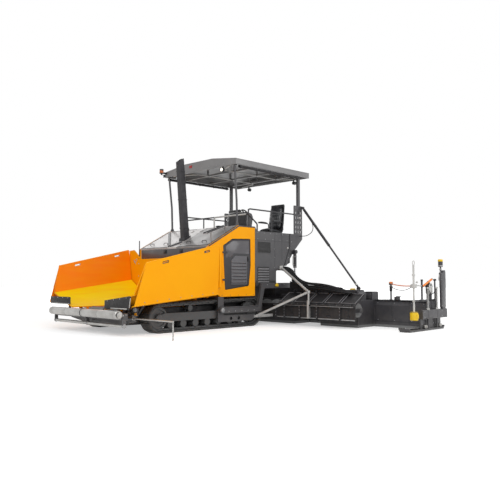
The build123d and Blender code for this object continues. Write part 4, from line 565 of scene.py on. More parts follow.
class Stock:
    """A mesh in the making, out of plates, tubes, turned pieces and bolts.

    A stock with a side takes places of the left side, carries them to its own side, and ends the names of its
    piece and body with that side's word.
    """

    def __init__(self, side: Optional[Side] = None) -> None:
        """Start with nothing.

        Args:
            side: The side that the piece is for, or nothing where it has none.
        """
        self.mesh = bmesh.new()
        self.side = side

    def put(self, at: Sequence[float]) -> Vector:
        """Carry a place or a direction to the stock's side."""
        return Vector(self.side.carry(at) if self.side else at)

    def slab(self, low: Point, high: Point, rim: float = 0.0) -> "Stock":
        """Add a plate given by its limits, with its edges broken by rim."""
        lo = Vector(map(min, self.put(low), self.put(high)))
        hi = Vector(map(max, self.put(low), self.put(high)))
        size = hi - lo
        move = Matrix.Translation((lo + hi) / 2) @ Matrix.Diagonal((*size, 1.0))
        verts = bmesh.ops.create_cube(self.mesh, size=1.0, matrix=move)["verts"]
        rim = min(rim, min(size) * 0.45)
        if rim > 0:
            edges = list({edge for vert in verts for edge in vert.link_edges})
            bmesh.ops.bevel(self.mesh, geom=edges, offset=rim, segments=2, profile=0.5, affect="EDGES")
        return self

    def prism(self, shape: Sequence[Flat], axis: Axis, start: float, end: float, rim: float = 0.0) -> "Stock":
        """Pull an outline along an axis.

        Args:
            shape: The outline's points in the plane across the axis.
            axis: The direction of the pull.
            start: Where the pull starts.
            end: Where it ends.
            rim: How far the edges are broken.

        Returns:
            The same stock, for more.
        """
        rings = [
            [self.mesh.verts.new(self.put(axis.place(u, v, depth))) for u, v in shape] for depth in (start, end)
        ]
        faces = [self.mesh.faces.new(rings[0]), self.mesh.faces.new(list(reversed(rings[1])))]
        count = len(shape)
        for at in range(count):
            after = (at + 1) % count
            faces.append(self.mesh.faces.new((rings[0][at], rings[0][after], rings[1][after], rings[1][at])))
        if rim > 0:
            edges = list({edge for face in faces for edge in face.edges})
            bmesh.ops.bevel(self.mesh, geom=edges, offset=rim, segments=2, profile=0.5, affect="EDGES")
        return self

    def tube(
        self, points: Sequence[Sequence[float]], radius: float, sides: int = 12, closed: bool = False
    ) -> "Stock":
        """Sweep a round section along points.

        Args:
            points: The centre line.
            radius: The section's radius.
            sides: Sides of the section.
            closed: Whether the line joins its own start.

        Returns:
            The same stock, for more.
        """
        line = [self.put(p) for p in points]
        count = len(line)
        rings: list[list[bmesh.types.BMVert]] = []
        across: Optional[Vector] = None
        for at, centre in enumerate(line):
            before = line[at - 1] if at or closed else centre
            after = line[(at + 1) % count] if at < count - 1 or closed else centre
            ahead = (after - before).normalized()
            if across is None:
                across = ahead.orthogonal().normalized()
            across = (across - ahead * across.dot(ahead)).normalized()
            other = ahead.cross(across)
            rings.append([self.mesh.verts.new(centre + (across * c + other * s) * radius) for c, s in circle(sides)])
        pairs = list(zip(rings, rings[1:])) + ([(rings[-1], rings[0])] if closed else [])
        for first, second in pairs:
            for side in range(sides):
                after = (side + 1) % sides
                self.mesh.faces.new((first[side], first[after], second[after], second[side]))
        if not closed:
            self.mesh.faces.new(list(reversed(rings[0])))
            self.mesh.faces.new(rings[-1])
        return self

    def turned(self, profile: Sequence[Flat], foot: Point, axis: Point = UP, sides: int = 24) -> "Stock":
        """Turn a profile of radius and height about an axis.

        Args:
            profile: Radius and height of each ring, from foot to top.
            foot: Where height 0 is.
            axis: The direction of growing height.
            sides: Sides of the round.

        Returns:
            The same stock, for more.
        """
        turn = self.put(axis).to_track_quat("Z", "Y").to_matrix().to_4x4()
        move = Matrix.Translation(self.put(foot)) @ turn
        rings = []
        for radius, height in profile:
            rings.append(
                [self.mesh.verts.new(move @ Vector((radius * c, radius * s, height))) for c, s in circle(sides)]
            )
        for first, second in zip(rings, rings[1:]):
            for side in range(sides):
                after = (side + 1) % sides
                self.mesh.faces.new((first[side], first[after], second[after], second[side]))
        self.mesh.faces.new(list(reversed(rings[0])))
        self.mesh.faces.new(rings[-1])
        return self

    def bolt(self, at: Point, axis: Point, size: float = 0.012) -> "Stock":
        """Add a washer and a six-sided head on a face at a point."""
        self.turned(((size * 1.05, -0.001), (size * 1.05, size * 0.2), (size, size * 0.25)), at, axis, 14)
        self.turned(((size * 0.78, size * 0.2), (size * 0.78, size * 0.72), (size * 0.62, size * 0.86)), at, axis, 6)
        return self

    def bolts(self, places: Iterable[Point], axis: Point, size: float = 0.012) -> "Stock":
        """Add the same bolt at each place."""
        for at in places:
            self.bolt(at, axis, size)
        return self

    def bolt_circle(self, middle: Point, radius: float, count: int, size: float) -> "Stock":
        """Add a ring of bolts round a place, all facing out."""
        x, y, z = middle
        return self.bolts([(x + radius * c, y, z + radius * s) for c, s in circle(count)], OUT, size)

    def finish(
        self, name: str, finish: Finish, body: Optional[str], slot: Optional[Slot] = None, angle: float = 38.0
    ) -> bpy.types.Object:
        """Turn the stock into a piece on a body.

        Args:
            name: The piece's name.
            finish: Its finish.
            body: The CAD body that it rides on, or nothing for a piece that runs between two.
            slot: The record's slot that it stands for, where it isn't the finish's own; not used.
            angle: Edges sharper than this many degrees stay sharp.

        Returns:
            The piece.
        """
        if self.side:
            name = f"{name}_{self.side.word}"
        if self.side and body in PAIRED_BODIES:
            body = f"{body}_{self.side.word}"
        bmesh.ops.recalc_face_normals(self.mesh, faces=self.mesh.faces[:])
        mesh = bpy.data.meshes.new(name)
        self.mesh.to_mesh(mesh)
        self.mesh.free()
        mesh.shade_smooth()
        mesh.set_sharp_from_angle(angle=math.radians(angle))
        mesh.materials.append(finish.material())
        piece = bpy.data.objects.new(name, mesh)
        bpy.context.scene.collection.objects.link(piece)
        if body:
            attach(piece, body)
        log.info("piece %s on %s, %d faces", name, body, len(mesh.polygons))
        return piece


def repaint(finish: Finish, *nodes: str) -> None:
    """Give CAD nodes a finish.

    Args:
        finish: The finish.
        *nodes: Names of the nodes.
    """
    for node in nodes:
        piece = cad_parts[node]
        piece.data.materials.clear()
        piece.data.materials.append(finish.material())
        log.info("node %s has %s", node, finish.name)


def pair(word: str) -> tuple[str, str]:
    """Names of the left and the right node of a kind."""
    return (f"{word}_left", f"{word}_right")


def spread(start: float, end: float, count: int) -> list[float]:
    """Evenly spaced values from start to end."""
    return [start + (end - start) * step / max(1, count - 1) for step in range(count)]


class Handed:
    """A sub-assembly whose pieces come in pairs, one on each side."""

    def half(self, side: Side) -> None:
        """Build the pieces of one side."""
        raise NotImplementedError

    def build(self) -> None:
        """Build both sides."""
        for side in Side:
            self.half(side)


# Surroundings.


@dataclass
class Studio:
    """Plain pale floor, soft lamps and the camera at the photograph's angle."""

    lens: float = 41.316
    sensor: float = 36.0
    far: float = 300.0
    station: Point = (9.035, 10.435, 1.076)
    yaw: float = 44.12
    pitch: float = 2.9
    floor_half: float = 60.0
    floor_drop: float = 0.001
    floor_white: float = 0.86
    glow_start: float = 5.5
    glow_full: float = 13.0

    def set_camera(self) -> None:
        """Place the camera."""
        data = bpy.data.cameras.new("studio_camera")
        data.lens = self.lens
        data.sensor_width = self.sensor
        data.clip_end = self.far
        camera = bpy.data.objects.new("studio_camera", data)
        yaw, pitch = math.radians(self.yaw), math.radians(self.pitch)
        ahead = Vector((-math.cos(yaw) * math.cos(pitch), -math.sin(yaw) * math.cos(pitch), math.sin(pitch)))
        camera.rotation_mode = "QUATERNION"
        camera.rotation_quaternion = ahead.to_track_quat("-Z", "Y")
        camera.location = self.station
        bpy.context.scene.collection.objects.link(camera)
        bpy.context.scene.camera = camera

    def area_lamp(self, name: str, at: Point, aim: Point, size: float, power: float) -> None:
        """Add one soft square lamp."""
        data = bpy.data.lights.new(name, "AREA")
        data.size = size
        data.energy = power
        lamp = bpy.data.objects.new(name, data)
        lamp.location = at
        lamp.rotation_mode = "QUATERNION"
        lamp.rotation_quaternion = (Vector(aim) - Vector(at)).to_track_quat("-Z", "Y")
        bpy.context.scene.collection.objects.link(lamp)

    def seen_share(self, sheet: NodeSheet) -> bpy.types.NodeSocket:
        """1 where a camera, glossy or clear ray meets the backdrop, else 0."""
        path = sheet.add("ShaderNodeLightPath")
        total = path.outputs["Is Camera Ray"]
        for kind in ("Is Glossy Ray", "Is Transmission Ray"):
            total = sheet.arith("ADD", total, path.outputs[kind])
        return total

    def set_world(self, fill: float) -> None:
        """White behind the machine, a plain even fill on it."""
        world = bpy.data.worlds.new("studio_world")
        bpy.context.scene.world = world
        world.use_nodes = True
        sheet = NodeSheet(world.node_tree)
        light = sheet.add("ShaderNodeBackground", {"Color": WHITE, "Strength": fill}).outputs[0]
        white = sheet.add("ShaderNodeBackground", {"Color": WHITE, "Strength": 1.0}).outputs[0]
        mixed = sheet.add("ShaderNodeMixShader", {0: self.seen_share(sheet), 1: light, 2: white}).outputs[0]
        sheet.add("ShaderNodeOutputWorld", {0: mixed})

    def set_floor(self, lift: float) -> None:
        """Lay the floor, which keeps the machine's shadow.

        Args:
            lift: Glow added where the floor is seen, so that its lit part reads white.
        """
        sheet = bmesh.new()
        bmesh.ops.create_grid(sheet, x_segments=8, y_segments=8, size=self.floor_half)
        mesh = bpy.data.meshes.new("studio_floor")
        sheet.to_mesh(mesh)
        sheet.free()
        floor = bpy.data.objects.new("studio_floor", mesh)
        floor.location.z = -self.floor_drop
        bpy.context.scene.collection.objects.link(floor)
        material = bpy.data.materials.new("studio_floor")
        material.use_nodes = True
        nodes = NodeSheet(material.node_tree)
        place = nodes.add("ShaderNodeTexCoord").outputs["Object"]
        reach = nodes.add("ShaderNodeVectorMath", {0: place}, operation="LENGTH").outputs["Value"]
        rise = nodes.ramp(reach, self.glow_start, self.glow_full, lift, 1.0)
        shown = nodes.arith("MULTIPLY", self.seen_share(nodes), rise)
        glow = nodes.add("ShaderNodeEmission", {"Strength": shown}).outputs[0]
        white = self.floor_white
        paper = nodes.add("ShaderNodeBsdfDiffuse", {"Color": (white, white, white, 1.0)}).outputs[0]
        both = nodes.add("ShaderNodeAddShader", {0: paper, 1: glow}).outputs[0]
        nodes.add("ShaderNodeOutputMaterial", {0: both})
        mesh.materials.append(material)

    def build(self) -> None:
        """Set the whole studio."""
        self.set_camera()
        self.set_world(0.55)
        self.set_floor(0.4)
        self.area_lamp("key_lamp", (7.5, 8.5, 8.5), (0.0, 0.5, 1.0), 7.0, 610.0)
        self.area_lamp("side_lamp", (-6.0, 11.0, 6.0), (-1.5, 1.0, 1.0), 6.0, 260.0)
        self.area_lamp("back_lamp", (-4.0, -9.0, 8.0), (0.0, 0.0, 1.5), 7.0, 160.0)
        bpy.context.scene.view_settings.view_transform = "Standard"


# Sub-assemblies.


@dataclass
class Tracks(Handed):
    """Two track loops: shoes with rubber pads, chain links, pins, and bolted wheels."""

    drive_x: float = -0.52
    drive_r: float = 0.33
    idler_x: float = 2.08
    idler_r: float = 0.3
    inner_y: float = 0.935
    width: float = 0.305
    pitch: float = 0.172
    pad: float = 0.024
    plate: float = 0.012
    link: float = 0.049

    def loop(self) -> list[tuple[Vector, Vector]]:
        """Places and outward directions of the shoes round the loop.

        Returns:
            For each shoe its outer middle in X-Z and its outward direction.
        """
        drive, idler = Vector((self.drive_x, self.drive_r)), Vector((self.idler_x, self.idler_r))
        tilt = math.asin((self.drive_r - self.idler_r) / (idler - drive).length)
        upper = math.pi / 2 - 2 * tilt
        bottom = self.idler_x - self.drive_x
        front = self.idler_r * (math.pi / 2 + upper)
        top = math.sqrt((idler - drive).length_squared - (self.drive_r - self.idler_r) ** 2)
        rear = self.drive_r * (3 * math.pi / 2 - upper)
        total = bottom + front + top + rear
        count = round(total / self.pitch)
        places = []
        for number in range(count):
            along = total * number / count
            if along < bottom:
                places.append((Vector((self.drive_x + along, 0.0)), Vector((0.0, -1.0))))
                continue
            along -= bottom
            if along < front:
                angle = -math.pi / 2 + along / self.idler_r
                out = Vector((math.cos(angle), math.sin(angle)))
                places.append((idler + out * (self.idler_r - 0.004), out))
                continue
            along -= front
            if along < top:
                out = Vector((math.cos(upper), math.sin(upper)))
                start = idler + out * self.idler_r
                back = Vector((-out.y, out.x))
                places.append((start + back * along, out))
                continue
            along -= top
            angle = upper + along / self.drive_r
            out = Vector((math.cos(angle), math.sin(angle)))
            places.append((drive + out * (self.drive_r - 0.004), out))
        return places

    def block(
        self, stock: Stock, at: Vector, out: Vector, along: Flat, across: Flat, deep: Flat, rim: float
    ) -> None:
        """Add one block in a shoe's own frame.

        Args:
            stock: The mesh that grows.
            at: The shoe's outer middle in X-Z.
            out: Its outward direction in X-Z.
            along: Limits along the track.
            across: Limits in Y.
            deep: Limits of depth under the outer face.
            rim: How far the edges are broken.
        """
        ahead = Vector((-out.y, out.x))
        verts_before = set(stock.mesh.verts)
        stock.slab((along[0], across[0], -deep[1]), (along[1], across[1], -deep[0]), rim)
        move = Matrix(
            ((ahead.x, 0.0, out.x, at.x), (0.0, 1.0, 0.0, 0.0), (ahead.y, 0.0, out.y, at.y), (0.0, 0.0, 0.0, 1.0))
        )
        for vert in stock.mesh.verts:
            if vert not in verts_before:
                vert.co = move @ vert.co

    def half(self, side: Side) -> None:
        """Build one loop and dress its wheels."""
        middle = self.inner_y + self.width / 2
        low_y, high_y = middle - self.width / 2, middle + self.width / 2
        places = self.loop()
        pad_mesh, chain_mesh = Stock(side), Stock(side)
        for at, out in places:
            unit, steel = Stock(side), Stock(side)
            self.block(unit, at, out, (-0.076, 0.076), (low_y + 0.004, high_y - 0.004), (0.0, self.pad), 0.006)
            deep = self.pad + self.plate
            self.block(steel, at, out, (-0.082, 0.084), (low_y, high_y), (self.pad, deep), 0.003)
            for offset in (-0.058, 0.058):
                self.block(
                    steel, at, out, (-0.094, 0.094), (middle + offset - 0.015, middle + offset + 0.015),
                    (deep, deep + self.link), 0.012,
                )
            ahead = Vector((-out.y, out.x))
            pin = at - out * (deep + self.link * 0.55) + ahead * 0.086
            steel.tube(((pin.x, middle - 0.082, pin.y), (pin.x, middle + 0.082, pin.y)), 0.013, 10)
            for bolt_y in (middle - 0.11, middle + 0.11):
                spot = at - out * deep
                steel.bolt((spot.x, bolt_y, spot.y), (-out.x, 0.0, -out.y), 0.011)
            for source, target in ((unit, pad_mesh), (steel, chain_mesh)):
                spare = bpy.data.meshes.new("spare")
                source.mesh.to_mesh(spare)
                target.mesh.from_mesh(spare)
                source.mesh.free()
                bpy.data.meshes.remove(spare)
        shown = pad_mesh.finish("track_pads", PAD, "tractor")
        chain_mesh.finish("track_chain", TRACK, "tractor")
        if side is Side.LEFT:
            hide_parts("tracks")
        (
            Stock(side)
            .slab((-0.22, 0.958, 0.07), (1.8, 0.966, 0.5), 0.003)
            .bolts([(x, 0.966, 0.46) for x in spread(-0.1, 1.7, 8)], OUT, 0.012)
            .finish("track_guard", PLATE, "tractor")
        )
        hubs = Stock(side)
        for hub_x, hub_z, ring in ((self.drive_x, self.drive_r, 0.11), (self.idler_x, self.idler_r, 0.085)):
            face = 1.172
            hubs.turned(((0.062, 0.0), (0.062, 0.022), (0.05, 0.034), (0.02, 0.036)), (hub_x, face, hub_z), OUT, 28)
            hubs.bolt_circle((hub_x, face, hub_z), ring, 10, 0.012)
        hubs.finish("wheel_hubs", DARK, "tractor")

    def build(self) -> None:
        """Build both loops and dress their wheels."""
        super().build()
        repaint(TRACK, "track_frames")


@dataclass
class Door(Handed):
    """Service door: black edge seal, grey pane, louvre panel with blades, and a latch."""

    face_y: float = 1.264
    panel_y: float = 1.269
    shape = ((0.43, 1.815), (0.15, 1.975), (-0.43, 2.0), (-0.44, 1.37), (-0.38, 0.92), (0.37, 0.835))

    def inset(self, share: float) -> list[Flat]:
        """The door's outline drawn in towards its middle by a length."""
        middle = Vector((sum(p[0] for p in self.shape), sum(p[1] for p in self.shape))) / len(self.shape)
        points = []
        for x, z in self.shape:
            away = Vector((x, z)) - middle
            points.append(tuple(middle + away * (1 - share / away.length)))
        return points

    def half(self, side: Side) -> None:
        """Build the door's pieces on one side."""
        edge = self.inset(0.016)
        edge.append(edge[0])
        seal = Stock(side)
        path = rounded_path([(x, self.face_y + 0.001, z) for x, z in edge], 0.03, 5)
        seal.tube(path, 0.006, 8)
        seal.finish("door_seal", RUBBER, "door")
        (
            Stock(side)
            .prism(
                (
                    (0.345, 1.8), (0.13, 1.925), (-0.375, 1.945), (-0.385, 1.65), (0.1, 1.65), (0.225, 1.545),
                    (0.345, 1.545),
                ),
                Axis.Y, self.face_y - 0.002, self.face_y + 0.0025, 0.0012,
            )
            .finish("door_pane", PANE, "door")
        )
        plate, blades = Stock(side), Stock(side)
        rows = [0.98 + 0.0742857 * step for step in range(7)]
        for low, high in zip([0.955] + [z + 0.026 for z in rows], rows + [1.595]):
            if high - low > 0.09:
                shape = ((0.176, low), (0.176, 1.498), (0.058, high), (-0.316, high), (-0.316, low))
            else:
                shape = ((0.176, low), (0.176, high), (-0.316, high), (-0.316, low))
            plate.prism(shape, Axis.Y, self.panel_y, self.panel_y + 0.002)
        for low in rows:
            for x0, x1 in ((0.15, 0.176), (-0.316, -0.29)):
                plate.slab((x0, self.panel_y, low), (x1, self.panel_y + 0.002, low + 0.026))
            blade = (
                (self.panel_y + 0.006, low + 0.027), (self.panel_y - 0.022, low + 0.004),
                (self.panel_y - 0.024, low + 0.007), (self.panel_y + 0.004, low + 0.031),
            )
            blades.prism(blade, Axis.X, -0.289, 0.149)
        for bolt_x in (0.163, -0.303):
            plate.bolts([(bolt_x, self.panel_y + 0.002, z) for z in (0.966, 1.22, 1.475)], OUT, 0.007)
        plate.finish("door_louvres", PANEL, "door")
        blades.finish("door_blades", BLADE, "door")
        (
            Stock(side)
            .slab((-0.405, 1.285, 1.485), (-0.345, 1.2885, 1.575), 0.0015)
            .turned(cap(0.014, 0.003, 0.011, 0.0045), (-0.375, 1.286, 1.53), OUT, 20)
            .finish("door_latch", PLASTIC, "door")
        )
        repaint(BLACK, f"service_door_{side.word}")


@dataclass
class Hood(Handed):
    """Hood lids, front face latches, dark ridge strips, trims, tray edges and hood bolts."""

    front_x: float = 0.85
    rear_x: float = -0.06
    front_z: float = 1.8
    rear_z: float = 2.29

    def top(self, x: float) -> float:
        """Height of the sloping top at X."""
        return self.front_z + (self.front_x - x) * (self.rear_z - self.front_z) / (self.front_x - self.rear_x)

    def on_slope(self, start: Flat, end: Flat, width: float, high: float, stock: Stock) -> None:
        """Lay a flat strip on the slope between two places.

        Args:
            start: X and Y of one end.
            end: X and Y of the other end.
            width: Width of the strip.
            high: Its thickness.
            stock: The mesh that grows.
        """
        first, second = Vector((*start, 0.0)), Vector((*end, 0.0))
        side = (second - first).normalized().cross(Vector(UP)) * width / 2
        rings = []
        for lift in (-0.002, high):
            ring = []
            for corner in (first - side, first + side, second + side, second - side):
                ring.append(stock.mesh.verts.new(stock.put((corner.x, corner.y, self.top(corner.x) + lift))))
            rings.append(ring)
        stock.mesh.faces.new(rings[0])
        stock.mesh.faces.new(list(reversed(rings[1])))
        for at in range(4):
            after = (at + 1) % 4
            stock.mesh.faces.new((rings[0][at], rings[0][after], rings[1][after], rings[1][at]))

    def half(self, side: Side) -> None:
        """Build one lid's trims and grips."""
        trim = Stock(side)
        self.on_slope((0.826, 1.215), (0.0, 1.215), 0.03, 0.006, trim)
        self.on_slope((0.822, 0.19), (0.822, 1.225), 0.028, 0.006, trim)
        trim.finish("lid_trim", BLACK, "lid")
        grip = Stock(side)
        for y in (0.42, 0.95):
            path = rounded_path(
                (
                    (0.7, y - 0.07, self.top(0.7)), (0.7, y - 0.07, self.top(0.7) + 0.045),
                    (0.7, y + 0.07, self.top(0.7) + 0.045), (0.7, y + 0.07, self.top(0.7)),
                ),
                0.02,
            )
            grip.tube(path, 0.007, 10)
        grip.bolts([(x, 0.182, self.top(x)) for x in spread(0.06, 0.74, 5)], (0.47, 0, 0.88), 0.008)
        grip.finish("lid_grips", BLACK, "lid")

    def build(self) -> None:
        """Build the hood's pieces."""
        repaint(HOOD, "hood_lid_right", "hood_spine")
        repaint(LID, "hood_lid_left")
        Stock().slab((0.85, -1.18, 1.548), (0.8525, 1.18, 1.768), 0.001).finish("hood_face_skin", DARK, "tractor")
        latches = Stock()
        for y in (-0.24, 0.34):
            latches.slab((0.852, y - 0.055, 1.665), (0.866, y + 0.055, 1.755), 0.006)
            latches.slab((0.866, y - 0.03, 1.672), (0.882, y + 0.03, 1.72), 0.007)
        latches.finish("hood_face_latches", PLASTIC, "tractor")
        super().build()
        ridge = Stock()
        self.on_slope((0.02, -1.16), (0.8, -0.17), 0.05, 0.028, ridge)
        ridge.finish("lid_ridge_right", BLACK, "lid_right")
        spine = Stock()
        self.on_slope((0.8, -0.12), (0.62, 0.08), 0.05, 0.028, spine)
        spine.finish("spine_ridge", BLACK, "tractor")
        tray = Stock()
        for y in (1.052, 1.192):
            tray.prism(((0.82, 2.056), (0.21, 2.268), (0.21, 2.296), (0.82, 2.086)), Axis.Y, y, y + 0.006)
        tray.finish("tray_lips", BLACK, "lid_left")
        edge = Stock()
        for sign in (1, -1):
            edge.prism(
                ((0.852, 1.8), (-0.06, 2.292), (-0.58, 2.292), (-0.58, 2.262), (-0.066, 2.262), (0.852, 1.768)),
                Axis.Y, sign * 1.268, sign * 1.2735, 0.001,
            )
        edge.finish("body_edge_trim", BLACK, "tractor")
        seams = Stock()
        for sign in (1, -1):
            seams.slab((0.846, sign * 1.268, 0.905), (0.8505, sign * 1.2712, 1.76))
            seams.bolts([(0.82, sign * 1.27, z) for z in spread(0.95, 1.7, 4)], (0, sign, 0), 0.008)
            seams.bolts([(x, sign * 1.27, 0.72) for x in spread(-0.54, 0.46, 5)], (0, sign, 0), 0.008)
        seams.finish("body_seams", BLACK, "tractor")
        repaint(ORANGE, "side_bodies", "hopper_rear_wall")


@dataclass
class Stack:
    """Exhaust stack: clamp bands and base bolts."""

    foot: Point = (0.4625, 0.0, 2.01)
    head: Point = (0.63, 0.0, 3.85)
    half: float = 0.07

    def build(self) -> None:
        """Build the bands and the base bolts."""
        repaint(STACK, "exhaust_stack")
        bands = Stock()
        first, last = Vector(self.foot), Vector(self.head)
        for share in (0.14, 0.5, 0.86):
            middle = first.lerp(last, share)
            half_x = (0.165 + (0.14 - 0.165) * share) / 2 + 0.004
            half_y = self.half + 0.004
            shape = (
                (middle.x - half_x, -half_y), (middle.x + half_x, -half_y), (middle.x + half_x, half_y),
                (middle.x - half_x, half_y),
            )
            bands.prism(shape, Axis.Z, middle.z - 0.012, middle.z + 0.012, 0.002)
        bands.finish("stack_bands", STACK, "tractor")
        bolts = Stock()
        for sign in (1, -1):
            bolts.bolts(
                [(x, sign * 0.09, 2.045 + (0.46 - x) * 0.54) for x in (0.38, 0.46, 0.54)], (0, sign, 0), 0.009
            )
        bolts.finish("stack_base_bolts", ZINC, "tractor")


@dataclass
class Hopper:
    """Hopper wings: folded rims, slot liners, raked front edges, skirt bolts and rubber flaps."""

    rear_x: float = 0.9
    front_x: float = 2.975
    rake_x: float = 2.74
    rear_z: float = 1.79
    front_z: float = 1.322
    rim_y: float = 1.656
    slot_xs: tuple[float, float] = (1.25, 2.3)
    slot_half: float = 0.07
    slot_h: float = 0.034

    def rim_z(self, x: float) -> float:
        """Height of the wing's rim at X."""
        return self.rear_z - (x - self.rear_x) * (self.rear_z - self.front_z) / (self.front_x - self.rear_x)

    def edging(self, side: Side) -> None:
        """Add the rolled rim, the raked front edge, slot liners and bolts of one wing."""
        rim = Stock(side)
        rim.tube(
            (
                (self.rear_x + 0.01, self.rim_y, self.rim_z(self.rear_x) - 0.002),
                (self.rake_x, self.rim_y, self.rim_z(self.rake_x) - 0.002), (2.902, 1.531, 0.812),
            ),
            0.0135, 10,
        )
        rim.tube(((self.rear_x + 0.004, 1.655, 1.785), (self.rear_x + 0.004, 1.531, 1.052)), 0.011, 10)
        finish = WING_LEFT if side is Side.LEFT else WING_RIGHT
        rim.finish("wing_rim", finish, "wing")
        liners, lips = Stock(side), Stock(side)
        for slot_x in self.slot_xs:
            slope = (self.rear_z - self.front_z) / (self.front_x - self.rear_x) * self.slot_half
            z = self.rim_z(slot_x) - 0.055
            for y, ring in ((1.6665, lips), (1.632, liners)):
                corners = (
                    (slot_x - self.slot_half, y, z + slope), (slot_x + self.slot_half, y, z - slope),
                    (slot_x + self.slot_half, y, z - slope - self.slot_h),
                    (slot_x - self.slot_half, y, z + slope - self.slot_h),
                )
                ring.tube(corners, 0.005, 8, closed=True)
        liners.finish("slot_liners", PALE, "wing", Slot.ORANGE)
        lips.finish("slot_lips", BLACK, "wing")
        bolts = Stock(side)
        for x in spread(1.05, 2.75, 7):
            bolts.bolt((x, 1.63 + 0.0008 * x, 0.8 - 0.085 * (x - 0.9)), OUT, 0.009)
        for x in (1.0, 1.62, 2.25, 2.8):
            bolts.turned(cap(0.017, 0.004, 0.012, 0.007), (x, 1.596, self.rim_z(x) - 0.33), (0, -1, 0.15), 14)
        bolts.finish("wing_bolts", ZINC, "wing")

    def flap(self, side: Side, shape: Sequence[Flat], strips: Sequence[Sequence[Flat]]) -> None:
        """Add one rubber flap with its pale clamp strips.

        Args:
            side: The wing's side.
            shape: The flap's outline in Y-Z, on the left side.
            strips: Outlines of its clamp strips.
        """
        piece = Stock(side).prism(shape, Axis.X, 2.977, 2.987, 0.002).finish("rubber_flap", RUBBER, "wing")
        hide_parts(f"wing_flap_{side.word}")
        clamps = Stock(side)
        for strip in strips:
            clamps.prism(strip, Axis.X, 2.986, 2.992, 0.001)
        top = shape[-2:]
        for share in (0.12, 0.37, 0.62, 0.87):
            y = top[1][0] + (top[0][0] - top[1][0]) * share
            z = top[1][1] + (top[0][1] - top[1][1]) * share - 0.02
            clamps.bolt((2.986, y, z), AHEAD, 0.009)
        clamps.finish("flap_clamps", PALE, "wing", Slot.STEEL)

    def build(self) -> None:
        """Build both wings' dress and the hooks on the rear wall."""
        for side in Side:
            self.edging(side)
        self.flap(
            Side.LEFT, ((0.64, 0.502), (1.47, 0.502), (1.528, 0.75), (1.49, 0.762), (0.64, 0.665)),
            (
                ((0.86, 0.512), (1.4, 0.512), (1.4, 0.532), (0.86, 0.53)),
                ((1.478, 0.55), (1.497, 0.545), (1.53, 0.72), (1.512, 0.728)),
            ),
        )
        self.flap(
            Side.RIGHT, ((0.69, 0.545), (1.54, 0.545), (1.555, 0.7), (0.69, 0.7)),
            (((0.72, 0.552), (1.5, 0.552), (1.5, 0.565), (0.72, 0.565)),),
        )
        hooks = Stock()
        for y, z in ((-1.43, 1.5), (-1.385, 1.47), (-1.34, 1.53)):
            hooks.slab((0.88, y - 0.008, z - 0.03), (0.886, y + 0.008, z + 0.04), 0.002)
            hooks.turned(cap(0.013, 0.012, 0.009, 0.016), (0.886, y, z + 0.028), AHEAD, 14)
        for y in (-1.25, 1.25):
            hooks.bolts([(0.88, y, z) for z in (0.85, 1.15, 1.45)], AHEAD, 0.012)
        hooks.finish("wall_hooks", PALE, "tractor", Slot.STEEL)
        (
            Stock()
            .tube(((0.865, -1.25, 1.565), (0.865, -1.25, 2.008)), 0.0115, 12)
            .turned(cap(0.02, 0.02, 0.013, 0.026), (0.865, -1.25, 1.562), UP, 16)
            .finish("marker_rod", BLACK, "tractor")
        )


